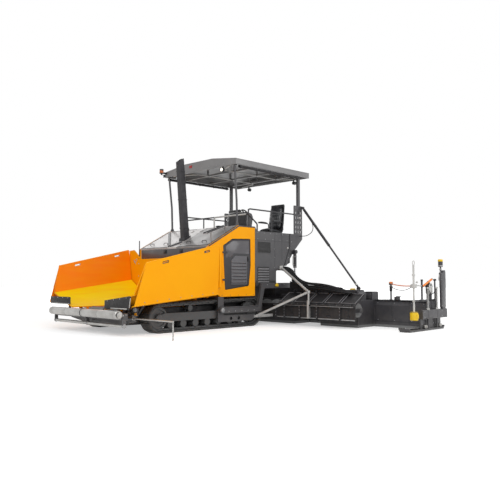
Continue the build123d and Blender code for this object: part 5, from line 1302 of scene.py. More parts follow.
@dataclass
class Front(Handed):
    """Push unit: ring between the rollers, end hubs, beam bolts, the lamp and its bracket under the wing."""

    roller_x: float = 3.08
    roller_z: float = 0.408
    roller_half: float = 1.285
    lamp: Point = (2.69, 1.25, 0.49)

    def half(self, side: Side) -> None:
        """Build one side's hub, roller bands and lamp."""
        hub = Stock(side)
        end = self.roller_half + 0.026
        hub.turned(
            ((0.056, 0.0), (0.056, 0.008), (0.03, 0.012), (0.028, 0.026), (0.012, 0.03)),
            (self.roller_x, end, self.roller_z), OUT, 24,
        )
        hub.bolts([(2.935, end - 0.011, 0.408), (3.0, end, 0.4)], OUT, 0.011)
        hub.finish("roller_hub", STEEL, "push_unit")
        groove = Stock(side)
        for y in (0.06, 0.62, 1.2):
            groove.turned(
                ((0.0802, -0.004), (0.0812, 0.0), (0.0802, 0.004)), (self.roller_x, y, self.roller_z), OUT, 40
            )
        groove.finish("roller_bands", WORN, "roller", Slot.STEEL)
        x, y, z = self.lamp
        (
            Stock(side)
            .turned(
                ((0.03, -0.02), (0.062, -0.02), (0.066, 0.0), (0.062, 0.022), (0.046, 0.024), (0.044, 0.01)),
                (x, y, z), (1.0, 0.5, 0.0), 28,
            )
            .slab((x - 0.03, y - 0.02, 0.385), (x - 0.005, y + 0.02, z), 0.003)
            .finish("wing_lamp", BLACK, "tractor")
        )
        (
            Stock(side)
            .turned(((0.043, 0.012), (0.04, 0.018), (0.02, 0.021)), (x, y, z), (1.0, 0.5, 0.0), 28)
            .finish("wing_lamp_glass", LENS, "tractor")
        )
        (
            Stock(side)
            .slab((x, y - 0.035, 0.385), (x + 0.012, y + 0.035, 0.44), 0.003)
            .slab((x - 0.03, y - 0.035, 0.385), (x + 0.012, y + 0.035, 0.393), 0.002)
            .finish("wing_lamp_bracket", ORANGE, "tractor")
        )

    def build(self) -> None:
        """Build the front's pieces."""
        (
            Stock()
            .turned(collar(0.081, 0.0835, 0.012, 0.006), (self.roller_x, 0.0, self.roller_z), OUT, 32)
            .finish("roller_ring", BLACK, "push_unit")
        )
        super().build()
        beam = Stock()
        for y in spread(-1.2, 1.2, 13):
            if abs(y) > 0.1:
                beam.bolt((2.99, y, 0.32), AHEAD, 0.011)
        for y in (-1.298, 0.0, 1.298):
            beam.turned(((0.04, -0.02), (0.04, 0.02), (0.02, 0.024)), (2.975, y, 0.196), OUT, 20)
        beam.finish("beam_bolts", ZINC, "push_unit")
        clamp = Stock()
        for y in (1.05, 1.27):
            clamp.turned(collar(0.031, 0.034, 0.008, 0.006), (2.74, y, 0.33), OUT, 24)
        clamp.finish("guide_clamps", STEEL, "tractor")
        weight = Stock()
        for step, z in enumerate(spread(0.02, 0.29, 10)):
            tilt = step % 2
            loop = [(2.74 + 0.013 * c * (1 - tilt), 2.46 + 0.013 * c * tilt, z + 0.02 * s) for c, s in circle(12)]
            weight.tube(loop, 0.0042, 6, closed=True)
        weight.finish("guide_chain", STEEL, "guide")


@dataclass
class TowGear(Handed):
    """Tow arms: pin caps, plate bolts, lug pins and the yellow fittings along the arms."""

    pin: Flat = (0.48, 0.4)
    arm_y: float = 1.322

    def half(self, side: Side) -> None:
        """Build one arm's small parts."""
        (
            Stock(side)
            .turned(
                ((0.048, 0.0), (0.048, 0.008), (0.034, 0.011), (0.032, 0.016), (0.012, 0.018)),
                (self.pin[0], self.arm_y + 0.001, self.pin[1]), OUT, 28,
            )
            .bolt_circle((self.pin[0], self.arm_y, self.pin[1]), 0.058, 6, 0.006)
            .bolts([(x, self.arm_y, 0.372) for x in spread(-0.5, 0.3, 5)], OUT, 0.01)
            .bolts([(x, self.arm_y, 0.945) for x in (-0.95, -1.25, -1.55, -1.85)], OUT, 0.01)
            .bolts([(-2.05, self.arm_y, z) for z in (0.66, 0.74, 0.82)], OUT, 0.012)
            .finish("arm_bolts", ZINC, "screed")
        )
        (
            Stock(side)
            .prism(
                (
                    (0.52, 0.452), (-0.62, 0.452), (-0.74, 0.962), (-1.95, 0.962), (-1.95, 0.955), (-0.748, 0.955),
                    (-0.63, 0.444), (0.52, 0.444),
                ),
                Axis.Y, self.arm_y, self.arm_y + 0.004, 0.0012,
            )
            .finish("arm_edge", BLACK, "screed")
        )
        (
            Stock(side)
            .slab((-1.31, 1.322, 0.9), (-1.225, 1.36, 0.955), 0.01)
            .turned(cap(0.018, 0.02, 0.012, 0.026), (-1.268, 1.34, 0.953), UP, 14)
            .finish("arm_fitting", YELLOW, "screed")
        )


@dataclass
class Platform(Handed):
    """Operator platform: tool recess with painted shade, blades, seams, treads, rear frame studs and side bolts."""

    face_y: float = 1.25
    recess: tuple[float, float, float, float] = (-1.15, -0.68, 1.68, 1.965)
    blade_low: float = 1.06
    blade_pitch: float = 0.06

    def half(self, side: Side) -> None:
        """Build one side's recess and its painted shade, blades, seams, studs, knobs and lamps."""
        x0, x1, z0, z1 = self.recess
        face = self.face_y
        frame_ring = Stock(side)
        for low, high in (
            ((x0, z0), (x1, z0 + 0.014)), ((x0, z1 - 0.014), (x1, z1)), ((x0, z0 + 0.014), (x0 + 0.014, z1 - 0.014)),
            ((x1 - 0.014, z0 + 0.014), (x1, z1 - 0.014)),
        ):
            frame_ring.slab((low[0], face, low[1]), (high[0], face + 0.007, high[1]), 0.002)
        frame_ring.finish("recess_frame", DARK, "tractor")
        # Dark sheets on the face, painted as the shade in the recess and behind the blades.
        (
            Stock(side)
            .slab((x0 + 0.014, face, z0 + 0.014), (x1 - 0.014, face + 0.002, z1 - 0.014))
            .slab((x0 + 0.04, face, z0 + 0.05), (x1 - 0.06, face + 0.005, z0 + 0.12), 0.002)
            .slab((-1.095, face, 1.045), (-0.685, face + 0.0015, 1.365))
            .slab((-1.34, 1.236, 0.92), (-0.62, 1.2515, 1.045), 0.002)
            .finish("recess_shade", RUBBER, "tractor")
        )
        blades = Stock(side)
        for step in range(-1, 5):
            low = self.blade_low + self.blade_pitch * step
            blades.prism(
                [
                    (y, z)
                    for y, z in (
                        (self.face_y + 0.011, low + 0.02), (self.face_y + 0.002, low - 0.004),
                        (self.face_y + 0.002, low + 0.004), (self.face_y + 0.011, low + 0.03),
                    )
                ],
                Axis.X, -1.078, -0.702,
            )
        blades.finish("platform_blades", BLADE, "tractor", Slot.DARK)
        seam = Stock(side)
        for x in (-1.3, -1.56):
            seam.slab((x, face, 1.53 if x < -1.5 else 1.28), (x + 0.006, face + 0.002, 2.18))
        seam.slab((-1.85, face, 1.985), (-0.6, face + 0.002, 1.991))
        seam.slab((-0.605, face, 1.02), (-0.6, face + 0.004, 2.28))
        seam.finish("platform_seams", BLACK, "tractor")
        studs = Stock(side)
        studs.bolts([(x, face, 2.16) for x in spread(-1.8, -0.7, 6)], OUT, 0.009)
        studs.bolts([(x, face, 2.02) for x in spread(-1.75, -0.7, 5)], OUT, 0.009)
        studs.bolts([(-1.28, face, z) for z in (1.35, 1.6, 1.8)], OUT, 0.009)
        for x, z in ((-2.05, 2.3), (-2.28, 2.3), (-2.05, 2.86), (-2.28, 2.86), (-1.9, 2.0), (-1.78, 1.6)):
            studs.bolt((x, 1.27, z), OUT, 0.012)
        studs.finish("platform_studs", ZINC, "tractor")
        (
            Stock(side)
            .turned(((0.024, 0.0), (0.026, 0.01), (0.02, 0.022), (0.008, 0.026)), (-1.762, 1.25, 1.84), OUT, 20)
            .turned(cap(0.018, 0.012, 0.01, 0.016), (-2.21, 1.27, 2.62), OUT, 18)
            .finish("platform_knobs", PALE, "tractor")
        )
        (
            Stock(side)
            .turned(
                ((0.05, 0.0), (0.055, 0.03), (0.04, 0.07), (0.018, 0.08)), (-1.835, 1.19, 1.52), (0.6, 0.35, -0.3),
                20,
            )
            .turned(((0.035, 0.0), (0.04, 0.03), (0.02, 0.05)), (-1.74, 1.205, 1.5), (0.8, 0.3, -0.2), 18)
            .slab((-1.86, 1.17, 1.53), (-1.7, 1.23, 1.55), 0.006)
            .finish("platform_lamps", PLASTIC, "tractor")
        )

    def build(self) -> None:
        """Build the platform's pieces."""
        super().build()
        treads = Stock()
        for x in spread(-1.99, -1.9, 4):
            treads.slab((x, -0.86, 1.9), (x + 0.018, 0.86, 1.906), 0.002)
        treads.finish("step_treads", ZINC, "tractor")
        deck = Stock()
        deck.slab((-1.84, -1.22, 1.9), (-0.62, 1.22, 1.904), 0.001)
        for x in spread(-1.8, -0.68, 15):
            for y in spread(-1.16, 1.16, 30):
                deck.slab((x - 0.022, y - 0.004, 1.904), (x + 0.022, y + 0.004, 1.9065))
        deck.finish("deck_plate", WORN, "tractor")


@dataclass
class Roof:
    """Canopy: fold seams, gutters, pale tubes below, reflector, lamps, beacon and rolled curtains."""

    front_x: float = 0.06
    rear_x: float = -2.57
    half: float = 1.3
    low_z: float = 3.67
    side_h: float = 0.13
    peak_z: float = 3.9
    peak_half: float = 0.5
    roll_r: float = 0.034
    beacon: Point = (0.13, -1.36, 3.79)
    roll_y: float = 1.288
    rivet = ((0.008, 0.0), (0.007, 0.003), (0.003, 0.005))

    def lamps(self) -> None:
        """Add housings, lenses and the beacon's dome."""
        lit = Stock()
        dark = Stock()
        shells = Stock()
        for x, facing in ((0.016, 1), (-2.526, -1)):
            for y in (0.82, -0.82):
                face = x + facing * 0.048
                target = lit if facing > 0 and y > 0 else dark
                target.turned(((0.038, 0.0), (0.034, 0.004), (0.018, 0.007)), (face, y, 3.6), (facing, 0, 0), 26)
                shells.turned(
                    ((0.047, -0.002), (0.049, 0.004), (0.041, 0.005), (0.039, 0.001)), (face, y, 3.6),
                    (facing, 0, 0), 26,
                )
                shells.turned(((0.03, 0.0), (0.04, 0.012)), (x - facing * 0.024, y, 3.6), (facing, 0, 0), 20)
                shells.bolt((x, y + 0.015, 3.668), OUT, 0.008)
        lit.finish("lit_lamp_glass", LIT, "tractor")
        dark.finish("lamp_glass", LENS, "tractor")
        shells.finish("lamp_shells", PLASTIC, "tractor")
        dome = Stock()
        profile = [(0.051, 0.0), (0.0525, 0.02)] + [
            (0.052 * math.cos(a), 0.045 + 0.056 * math.sin(a)) for a in spread(0.05, 1.45, 7)
        ]
        dome.turned(profile, self.beacon, UP, 28)
        dome.finish("beacon_dome", AMBER, "tractor")
        (
            Stock()
            .turned(cap(0.056, 0.012, 0.05, 0.016), (0.13, -1.36, 3.778), UP, 28)
            .slab((0.04, -1.375, 3.742), (0.145, -1.345, 3.752), 0.003)
            .slab((0.115, -1.375, 3.742), (0.145, -1.345, 3.78), 0.003)
            .slab((0.058, -1.375, 3.68), (0.066, -1.29, 3.752), 0.003)
            .finish("beacon_base", PLASTIC, "tractor")
        )
        Stock().slab((0.06, -0.345, 3.782), (0.068, -0.235, 3.848), 0.003).finish("roof_reflector", RED, "tractor")

    def seams(self) -> None:
        """Add fold strips, edge gutters and the rivets over the roof."""
        gutter_z, eave_z = self.low_z + 0.006, self.low_z + self.side_h
        strips = Stock()
        for sign in (1, -1):
            y0, y1 = sign * self.peak_half, sign * self.half
            strips.tube(((self.front_x, y0, self.peak_z - 0.001), (self.rear_x, y0, self.peak_z - 0.001)), 0.005, 8)
            strips.tube(((self.front_x, y1, eave_z - 0.002), (self.rear_x, y1, eave_z - 0.002)), 0.006, 8)
            strips.tube(((self.front_x, y1, gutter_z), (self.rear_x, y1, gutter_z)), 0.008, 8)
        for x in (self.front_x, self.rear_x):
            strips.tube(
                (
                    (x, -self.half, eave_z), (x, -self.peak_half, self.peak_z), (x, self.peak_half, self.peak_z),
                    (x, self.half, eave_z),
                ),
                0.006, 8,
            )
            strips.tube(((x, -self.half, gutter_z), (x, self.half, gutter_z)), 0.008, 8)
        strips.finish("roof_folds", ROOF, "tractor")
        rivets = Stock()
        for sign in (1, -1):
            for x in spread(self.rear_x + 0.12, self.front_x - 0.12, 12):
                rivets.turned(self.rivet, (x, sign * self.half, self.low_z + 0.1), (0, sign, 0), 10)
        for y in spread(-1.15, 1.15, 10):
            rivets.turned(self.rivet, (self.front_x, y, self.low_z + 0.06), AHEAD, 10)
        rivets.finish("roof_rivets", ZINC, "tractor")

    def tubes(self) -> None:
        """Add the pale tubes and wires under the roof."""
        pale = Stock()
        for sign in (1, -1):
            pale.tube(
                rounded_path(
                    (
                        (0.0, sign * 1.05, 3.685), (-0.35, sign * 0.45, 3.7), (-2.35, sign * 0.45, 3.7),
                        (-2.5, sign * 1.05, 3.685),
                    ),
                    0.12,
                ),
                0.016, 10,
            )
            for x in (-0.68, -1.48):
                pale.tube(((x, sign * 1.24, 3.682), (x, sign * 0.45, 3.7)), 0.009, 8)
        pale.finish("roof_tubes", PALE, "tractor", Slot.GREY)
        hooks = Stock()
        for sign in (1, -1):
            for x in spread(-2.1, -0.1, 5):
                hooks.tube(
                    rounded_path(
                        (
                            (x, sign * 1.276, 3.672), (x, sign * 1.245, 3.64), (x, sign * 1.245, 3.6),
                            (x, sign * 1.288, 3.588), (x, sign * 1.325, 3.62), (x, sign * 1.3, 3.668),
                        ),
                        0.03,
                    ),
                    0.005, 8,
                )
        hooks.finish("curtain_straps", VINYL, "tractor", Slot.RUBBER)

    def curtain(self, side: Side) -> None:
        """Roll one side curtain as a sheet wound on itself.

        Args:
            side: The curtain's side.
        """
        sign = side.value
        stock = Stock()
        turns, steps, columns = 5.0, 110, 40
        centre_z = self.low_z - self.roll_r - 0.004
        inner = 0.01
        pitch = (self.roll_r - inner) / turns
        spiral = []
        for step in range(steps + 1):
            angle = 2 * math.pi * turns * step / steps
            radius = inner + pitch * angle / (2 * math.pi)
            spiral.append((radius * math.cos(angle), radius * math.sin(angle)))
        xs = spread(-2.15, -0.04, columns + 1)
        rows = []
        for index, x in enumerate(xs):
            sag = 0.0022 * math.sin(index * 1.9) + 0.0016 * math.sin(index * 0.83 + sign)
            rows.append(
                [
                    stock.mesh.verts.new(
                        (x, sign * self.roll_y + dy * (1 + sag * 9), centre_z + dz * (1 + sag * 6) + sag * 0.4)
                    )
                    for dy, dz in spiral
                ]
            )
        for first, second in zip(rows, rows[1:]):
            for at in range(steps):
                stock.mesh.faces.new((first[at], first[at + 1], second[at + 1], second[at]))
        piece = stock.finish(f"side_curtain_{side.word}", CANVAS, "tractor", angle=80.0)
        if side is Side.LEFT:
            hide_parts("curtain_rolls")

    def build(self) -> None:
        """Build the roof's pieces."""
        self.seams()
        self.tubes()
        self.lamps()
        for side in Side:
            self.curtain(side)


@dataclass
class Seats:
    """Two operator seats: crowned cushions with sewn channels, shells, arm rests and pedestals."""

    middle_y: float = 0.79

    def drawn_in(self, u: float, v: float, half_x: float, half_y: float) -> Flat:
        """A place of a cushion's outline, with its corners rounded and its sides drawn in.

        Args:
            u: Share of the half length, from -1 to 1.
            v: Share of the half width, from -1 to 1.
            half_x: The cushion's half length.
            half_y: Its half width.

        Returns:
            The place in the cushion's own plane.
        """
        corner = 1 - 0.13 * (u * v) ** 6
        pull = (1 - 0.035 * (1 - v * v) * abs(u) ** 3) * corner
        pinch = (1 - 0.035 * (1 - u * u) * abs(v) ** 3) * corner
        return (half_x * u * pinch, half_y * v * pull)

    def cushion(self, name: str, move: Matrix, size: Point, channels: int, finish: Finish) -> bpy.types.Object:
        """Shape one crowned cushion with a welt and sewn channels.

        Args:
            name: The piece's name.
            move: Its place, with local Z as the crowned side.
            size: Its half length, half width and thickness.
            channels: Sewn channels across its crown.
            finish: Its cover.

        Returns:
            The cushion.
        """
        stock = Stock()
        count = 28
        half_x, half_y, thick = size
        values = [-1 + 2 * step / count for step in range(count + 1)]
        layers = []
        for top in (True, False):
            grid = []
            for u in values:
                row = []
                for v in values:
                    fall = max(0.0, (1 - u ** 6) * (1 - v ** 6)) ** 0.42
                    rise = thick * (0.55 + 0.45 * (1 - u * u) * (1 - v * v)) * fall if top else -thick * 0.22 * fall
                    if top:
                        for channel in range(channels):
                            at = -0.62 + 1.24 * channel / max(1, channels - 1)
                            rise -= 0.13 * thick * math.exp(-((u - at) / 0.045) ** 2) * fall
                        rise -= 0.1 * thick * math.exp(-((abs(v) - 0.74) / 0.05) ** 2) * fall
                    row.append(stock.mesh.verts.new(move @ Vector((*self.drawn_in(u, v, half_x, half_y), rise))))
                grid.append(row)
            layers.append(grid)
        for grid in layers:
            for i in range(count):
                for j in range(count):
                    stock.mesh.faces.new((grid[i][j], grid[i + 1][j], grid[i + 1][j + 1], grid[i][j + 1]))
        bmesh.ops.remove_doubles(stock.mesh, verts=stock.mesh.verts[:], dist=0.0004)
        rim = [(u, -1.0) for u in values] + [(1.0, v) for v in values[1:]]
        rim += [(u, 1.0) for u in reversed(values[:-1])] + [(-1.0, v) for v in reversed(values[1:-1])]
        edge = [move @ Vector((*self.drawn_in(u, v, half_x, half_y), 0.0)) for u, v in rim]
        stock.tube(edge, 0.0035, 8, closed=True)
        piece = stock.finish(name, finish, "tractor", Slot.PLASTIC, 60.0)
        return piece

    def seat(self, side: Side) -> bpy.types.Object:
        """Build one seat and return its cushion."""
        word, y = side.word, side.value * self.middle_y
        flat = Matrix.Translation((-1.63, y, 2.265)) @ Matrix.Rotation(math.radians(-3), 4, "Y")
        cushion = self.cushion(f"seat_cushion_{word}", flat, (0.215, 0.2, 0.085), 3, VINYL)
        upright = Matrix.Translation((-1.845, y, 2.62)) @ Matrix.Rotation(math.radians(81), 4, "Y")
        self.cushion(f"seat_back_{word}", upright, (0.285, 0.195, 0.085), 4, VINYL)
        shell = Stock()
        shell.prism(
            (
                (-1.405, 2.232), (-1.43, 2.256), (-1.8, 2.246), (-1.845, 2.28), (-1.875, 2.5), (-1.925, 2.9),
                (-1.905, 2.955), (-1.935, 2.972), (-1.962, 2.93), (-1.915, 2.48), (-1.885, 2.26), (-1.84, 2.225),
            ),
            Axis.Y, y - 0.212, y + 0.212, 0.012,
        )
        shell.finish(f"seat_shell_{word}", PLASTIC, "tractor")
        base = Stock()
        for step, z in enumerate(spread(1.93, 2.16, 8)):
            radius = 0.075 if step % 2 else 0.088
            base.turned(cap(radius, 0.02, radius - 0.012, 0.03), (-1.625, y, z), UP, 26)
        base.slab((-1.775, y - 0.15, 1.904), (-1.475, y + 0.15, 1.93), 0.006)
        base.slab((-1.8, y - 0.14, 2.185), (-1.45, y + 0.14, 2.232), 0.008)
        base.bolts([(-1.625 + dx, y + dy, 1.93) for dx in (-0.12, 0.12) for dy in (-0.12, 0.12)], UP, 0.011)
        base.finish(f"seat_base_{word}", PLASTIC, "tractor")
        for number, edge in enumerate((-1, 1)):
            arm_y = y + edge * 0.242
            rest = Matrix.Translation((-1.625, arm_y, 2.505))
            self.cushion(f"arm_pad_{word}_{number}", rest, (0.17, 0.024, 0.03), 0, VINYL)
            bend = ((-1.47, arm_y, 2.494), (-1.84, arm_y, 2.494), (-1.85, arm_y, 2.3), (-1.83, y + edge * 0.2, 2.26))
            Stock().tube(rounded_path(bend, 0.05), 0.012, 10).finish(f"seat_arm_{word}_{number}", BLACK, "tractor")
        return cushion

    def build(self) -> None:
        """Build both seats in place of the plain solids."""
        left_cushion, _ = [self.seat(side) for side in Side]
        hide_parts("seats")


@dataclass
class Console:
    """Sliding console: sloped panel, displays, keys, levers, wheel rim, and a pale sleeve on the front rail as a
    painted highlight.
    """

    middle_y: float = 0.6
    half: float = 0.3

    def build(self) -> None:
        """Build the console's pieces on its own body."""
        y0, y1 = self.middle_y - self.half, self.middle_y + self.half
        panel = Stock()
        panel.prism(
            ((-0.858, 2.644), (-0.704, 2.672), (-0.708, 2.686), (-0.862, 2.658)), Axis.Y, y0 + 0.03, y1 - 0.03, 0.003
        )
        for y in (y0 + 0.012, y1 - 0.012):
            panel.prism(
                ((-0.69, 2.26), (-0.83, 2.26), (-0.895, 2.55), (-0.86, 2.63), (-0.7, 2.665), (-0.668, 2.42)), Axis.Y,
                y - 0.016, y + 0.016, 0.004,
            )
        panel.finish("console_trim", DARK, "console", Slot.PLASTIC)
        screens = Stock()
        for y in (0.44, 0.74):
            screens.prism(
                ((-0.846, 2.663), (-0.73, 2.684), (-0.731, 2.688), (-0.847, 2.667)), Axis.Y, y - 0.075, y + 0.075,
                0.001,
            )
        screens.finish("console_screens", SCREEN, "console")
        keys = Stock()
        for row in range(3):
            for column in range(5):
                x = -0.825 + 0.04 * row
                keys.slab(
                    (x - 0.009, 0.55 + 0.02 * column, 2.668 + 0.18 * (x + 0.83)),
                    (x + 0.009, 0.563 + 0.02 * column, 2.683 + 0.18 * (x + 0.83)), 0.002,
                )
        keys.finish("console_keys", PALE, "console")
        levers = Stock()
        for y in (0.36, 0.56, 0.64, 0.84):
            levers.tube(((-0.79, y, 2.66), (-0.8, y, 2.735)), 0.005, 8)
            levers.turned(((0.008, 0.0), (0.015, 0.012), (0.015, 0.028), (0.007, 0.038)), (-0.8, y, 2.725), UP, 16)
        tilt = 0.7071
        rim = [(-0.905 + 0.1 * c * tilt, self.middle_y + 0.1 * s, 2.69 + 0.1 * c * tilt) for c, s in circle(36)]
        levers.tube(rim, 0.013, 10, closed=True)
        levers.finish("console_levers", RUBBER, "console")
        feet = Stock()
        for y in (y0 + 0.085, y1 - 0.085):
            feet.bolts([(-0.72, y - 0.02, z) for z in (2.13, 2.19)], AHEAD, 0.009)
        feet.finish("console_bolts", ZINC, "console")
        # A pale sleeve over the front rail's near half and its post: a painted highlight, not a part of its own.
        (
            Stock()
            .tube(rounded_path(((-0.47, -0.01, 2.3), (-0.47, -0.01, 2.589), (-0.47, 1.1, 2.591)), 0.05), 0.0195, 12)
            .turned(cap(0.032, 0.008, 0.02, 0.012), (-0.47, -0.01, 2.29), UP, 18)
            .finish("front_rail_sleeve", PALE, "tractor", Slot.GREY)
        )


@dataclass
class AugerDrive:
    """Auger channel: plate seams, hinge strips, framed cover windows, wear strip, braces' ends and end bearing."""

    face_x: float = -1.27
    top_z: float = 0.505
    end_y: float = 3.54
    slope_start: Flat = (-1.27, 0.505)
    slope_end: Flat = (-1.69, 0.755)
    field_start: float = 1.372
    field_pitch: float = 0.4336

    def on_slope(self, share: float, lift: float = 0.0) -> Flat:
        """X and Z on the sloping cover at a share of its run, lifted from it."""
        run = Vector(self.slope_end) - Vector(self.slope_start)
        at = Vector(self.slope_start) + run * share + Vector((run.y, -run.x)).normalized() * lift
        return (at.x, at.y + 0.013)

    def covers(self, side: Side) -> None:
        """Add the cover windows' pale rims, hinges and grips on one side."""
        rims = Stock(side)
        hinges = Stock(side)
        for field_number in range(5):
            y0 = self.field_start + self.field_pitch * field_number + 0.032
            y1 = y0 + self.field_pitch - 0.064
            low, high = self.on_slope(0.13, 0.004), self.on_slope(0.92, 0.004)
            ring = ((low[0], y0, low[1]), (high[0], y0, high[1]), (high[0], y1, high[1]), (low[0], y1, low[1]))
            rims.tube(ring, 0.0065, 8, closed=True)
            for y in (y0 + 0.07, y1 - 0.07):
                foot = self.on_slope(0.05, 0.0)
                hinges.tube(((foot[0], y - 0.03, foot[1] + 0.004), (foot[0], y + 0.03, foot[1] + 0.004)), 0.009, 10)
                hinges.bolt((self.face_x + 0.002, y, 0.485), AHEAD, 0.008)
            middle = (y0 + y1) / 2
            a, b = self.on_slope(0.95, 0.0), self.on_slope(0.95, 0.05)
            path = (
                (a[0], middle - 0.06, a[1]), (b[0], middle - 0.06, b[1]), (b[0], middle + 0.06, b[1]),
                (a[0], middle + 0.06, a[1]),
            )
            hinges.tube(rounded_path(path, 0.02), 0.006, 8)
        lining = Stock(side)
        low, high = self.on_slope(0.08, -0.022), self.on_slope(0.97, -0.022)
        lining.prism(
            ((low[0], low[1]), (high[0], high[1]), (high[0], high[1] + 0.004), (low[0], low[1] + 0.004)), Axis.Y,
            self.field_start + 0.01, self.end_y - 0.01,
        )
        lining.finish("cover_lining", PLATE, "tractor")
        rims.finish("cover_rims", BLADE, "tractor")
        hinges.finish("cover_hinges", BLACK, "tractor")

    def plates(self, side: Side) -> None:
        """Add the upright plates' seams, bolts and wear strip on one side."""
        bolts, strips, wear = Stock(side), Stock(side), Stock(side)
        for y in (1.32, 1.587, 2.043, 2.535, 3.161):
            strips.slab((-1.242, y - 0.012, 0.2), (-1.236, y + 0.012, 0.46), 0.002)
            bolts.bolts([(-1.238, y, z) for z in (0.23, 0.3, 0.37, 0.44)], AHEAD, 0.009)
        for y in (1.8, 2.28, 2.86, 3.36):
            strips.slab((self.face_x, y - 0.004, 0.19), (self.face_x + 0.004, y + 0.004, 0.462))
            for z in (0.26, 0.4):
                strips.tube(((-1.262, y - 0.035, z), (-1.262, y + 0.035, z)), 0.011, 10)
        bolts.bolts([(-1.24, y, self.top_z) for y in spread(1.45, 3.45, 12)], UP, 0.008)
        wear.slab((self.face_x, 1.28, 0.183), (self.face_x + 0.006, 3.535, 0.205), 0.002)
        wear.slab((-1.213, 1.28, 0.468), (-1.207, 3.53, 0.478), 0.001)
        strips.finish("plate_strips", BLACK, "tractor")
        bolts.finish("plate_bolts", ZINC, "tractor")
        wear.finish("plate_wear_strip", ZINC, "tractor")

    def braces(self, side: Side) -> None:
        """Add the brace's eyes, turnbuckle sleeves and its lower plate."""
        ends = Stock(side)
        ends.slab((-1.158, 2.337, 0.19), (-1.15, 2.383, 0.6), 0.003)
        ends.slab((-1.27, 2.337, 0.19), (-1.158, 2.345, 0.5), 0.002)
        ends.turned(collar(0.034, 0.038, 0.03, 0.026), (-1.184, 2.36, 0.786), UP, 20)
        tip = Vector((-1.184, 2.36, 0.786))
        for far in ((-1.515, 1.272, 1.35), (-0.6, 1.262, 0.222)):
            line = Vector(far) - tip
            for share, radius in ((0.05, 0.031), (0.12, 0.029), (0.9, 0.031)):
                ends.tube((tip + line * share, tip + line * (share + 0.025)), radius, 14)
        ends.turned(((0.024, -0.02), (0.024, 0.02), (0.014, 0.026)), (-1.515, 1.272, 1.35), OUT, 18)
        ends.turned(((0.022, -0.012), (0.022, 0.018), (0.012, 0.024)), (-0.6, 1.262, 0.222), OUT, 18)
        ends.finish("brace_ends", PALE_STEEL, "tractor")
        (
            Stock(side)
            .turned(
                ((0.06, 0.0), (0.06, 0.012), (0.04, 0.016), (0.038, 0.03), (0.015, 0.032)), (-1.5, 3.54, 0.4), OUT,
                24,
            )
            .bolt_circle((-1.5, 3.552, 0.4), 0.05, 6, 0.006)
            .finish("auger_bearing", DARK, "tractor")
        )
        (
            Stock(side)
            .turned(((0.149, 0.0), (0.153, 0.003), (0.153, 0.007), (0.149, 0.01)), (-1.5, 3.456, 0.4), OUT, 40)
            .finish("auger_disc_rim", WORN, "auger")
        )

    def duct(self, side: Side) -> None:
        """Add the upright duct plate that the auger hoses lie against."""
        plate = Stock(side)
        shape = ((1.4, 0.738), (3.26, 0.738), (3.26, 0.785), (2.95, 0.825), (2.5, 0.915), (1.62, 0.945), (1.4, 1.03))
        plate.prism(shape, Axis.X, -1.684, -1.676, 0.002)
        for y, z in ((1.62, 0.94), (1.95, 0.93), (2.28, 0.92), (2.62, 0.885), (2.95, 0.82)):
            plate.slab((-1.684, y - 0.006, 0.742), (-1.56, y + 0.006, z - 0.1), 0.002)
            plate.bolt((-1.676, y, z - 0.03), AHEAD, 0.009)
        plate.finish("hose_duct", PLATE, "tractor")

    def build(self) -> None:
        """Build both sides."""
        for side in Side:
            self.duct(side)
            self.covers(side)
            self.plates(side)
            self.braces(side)


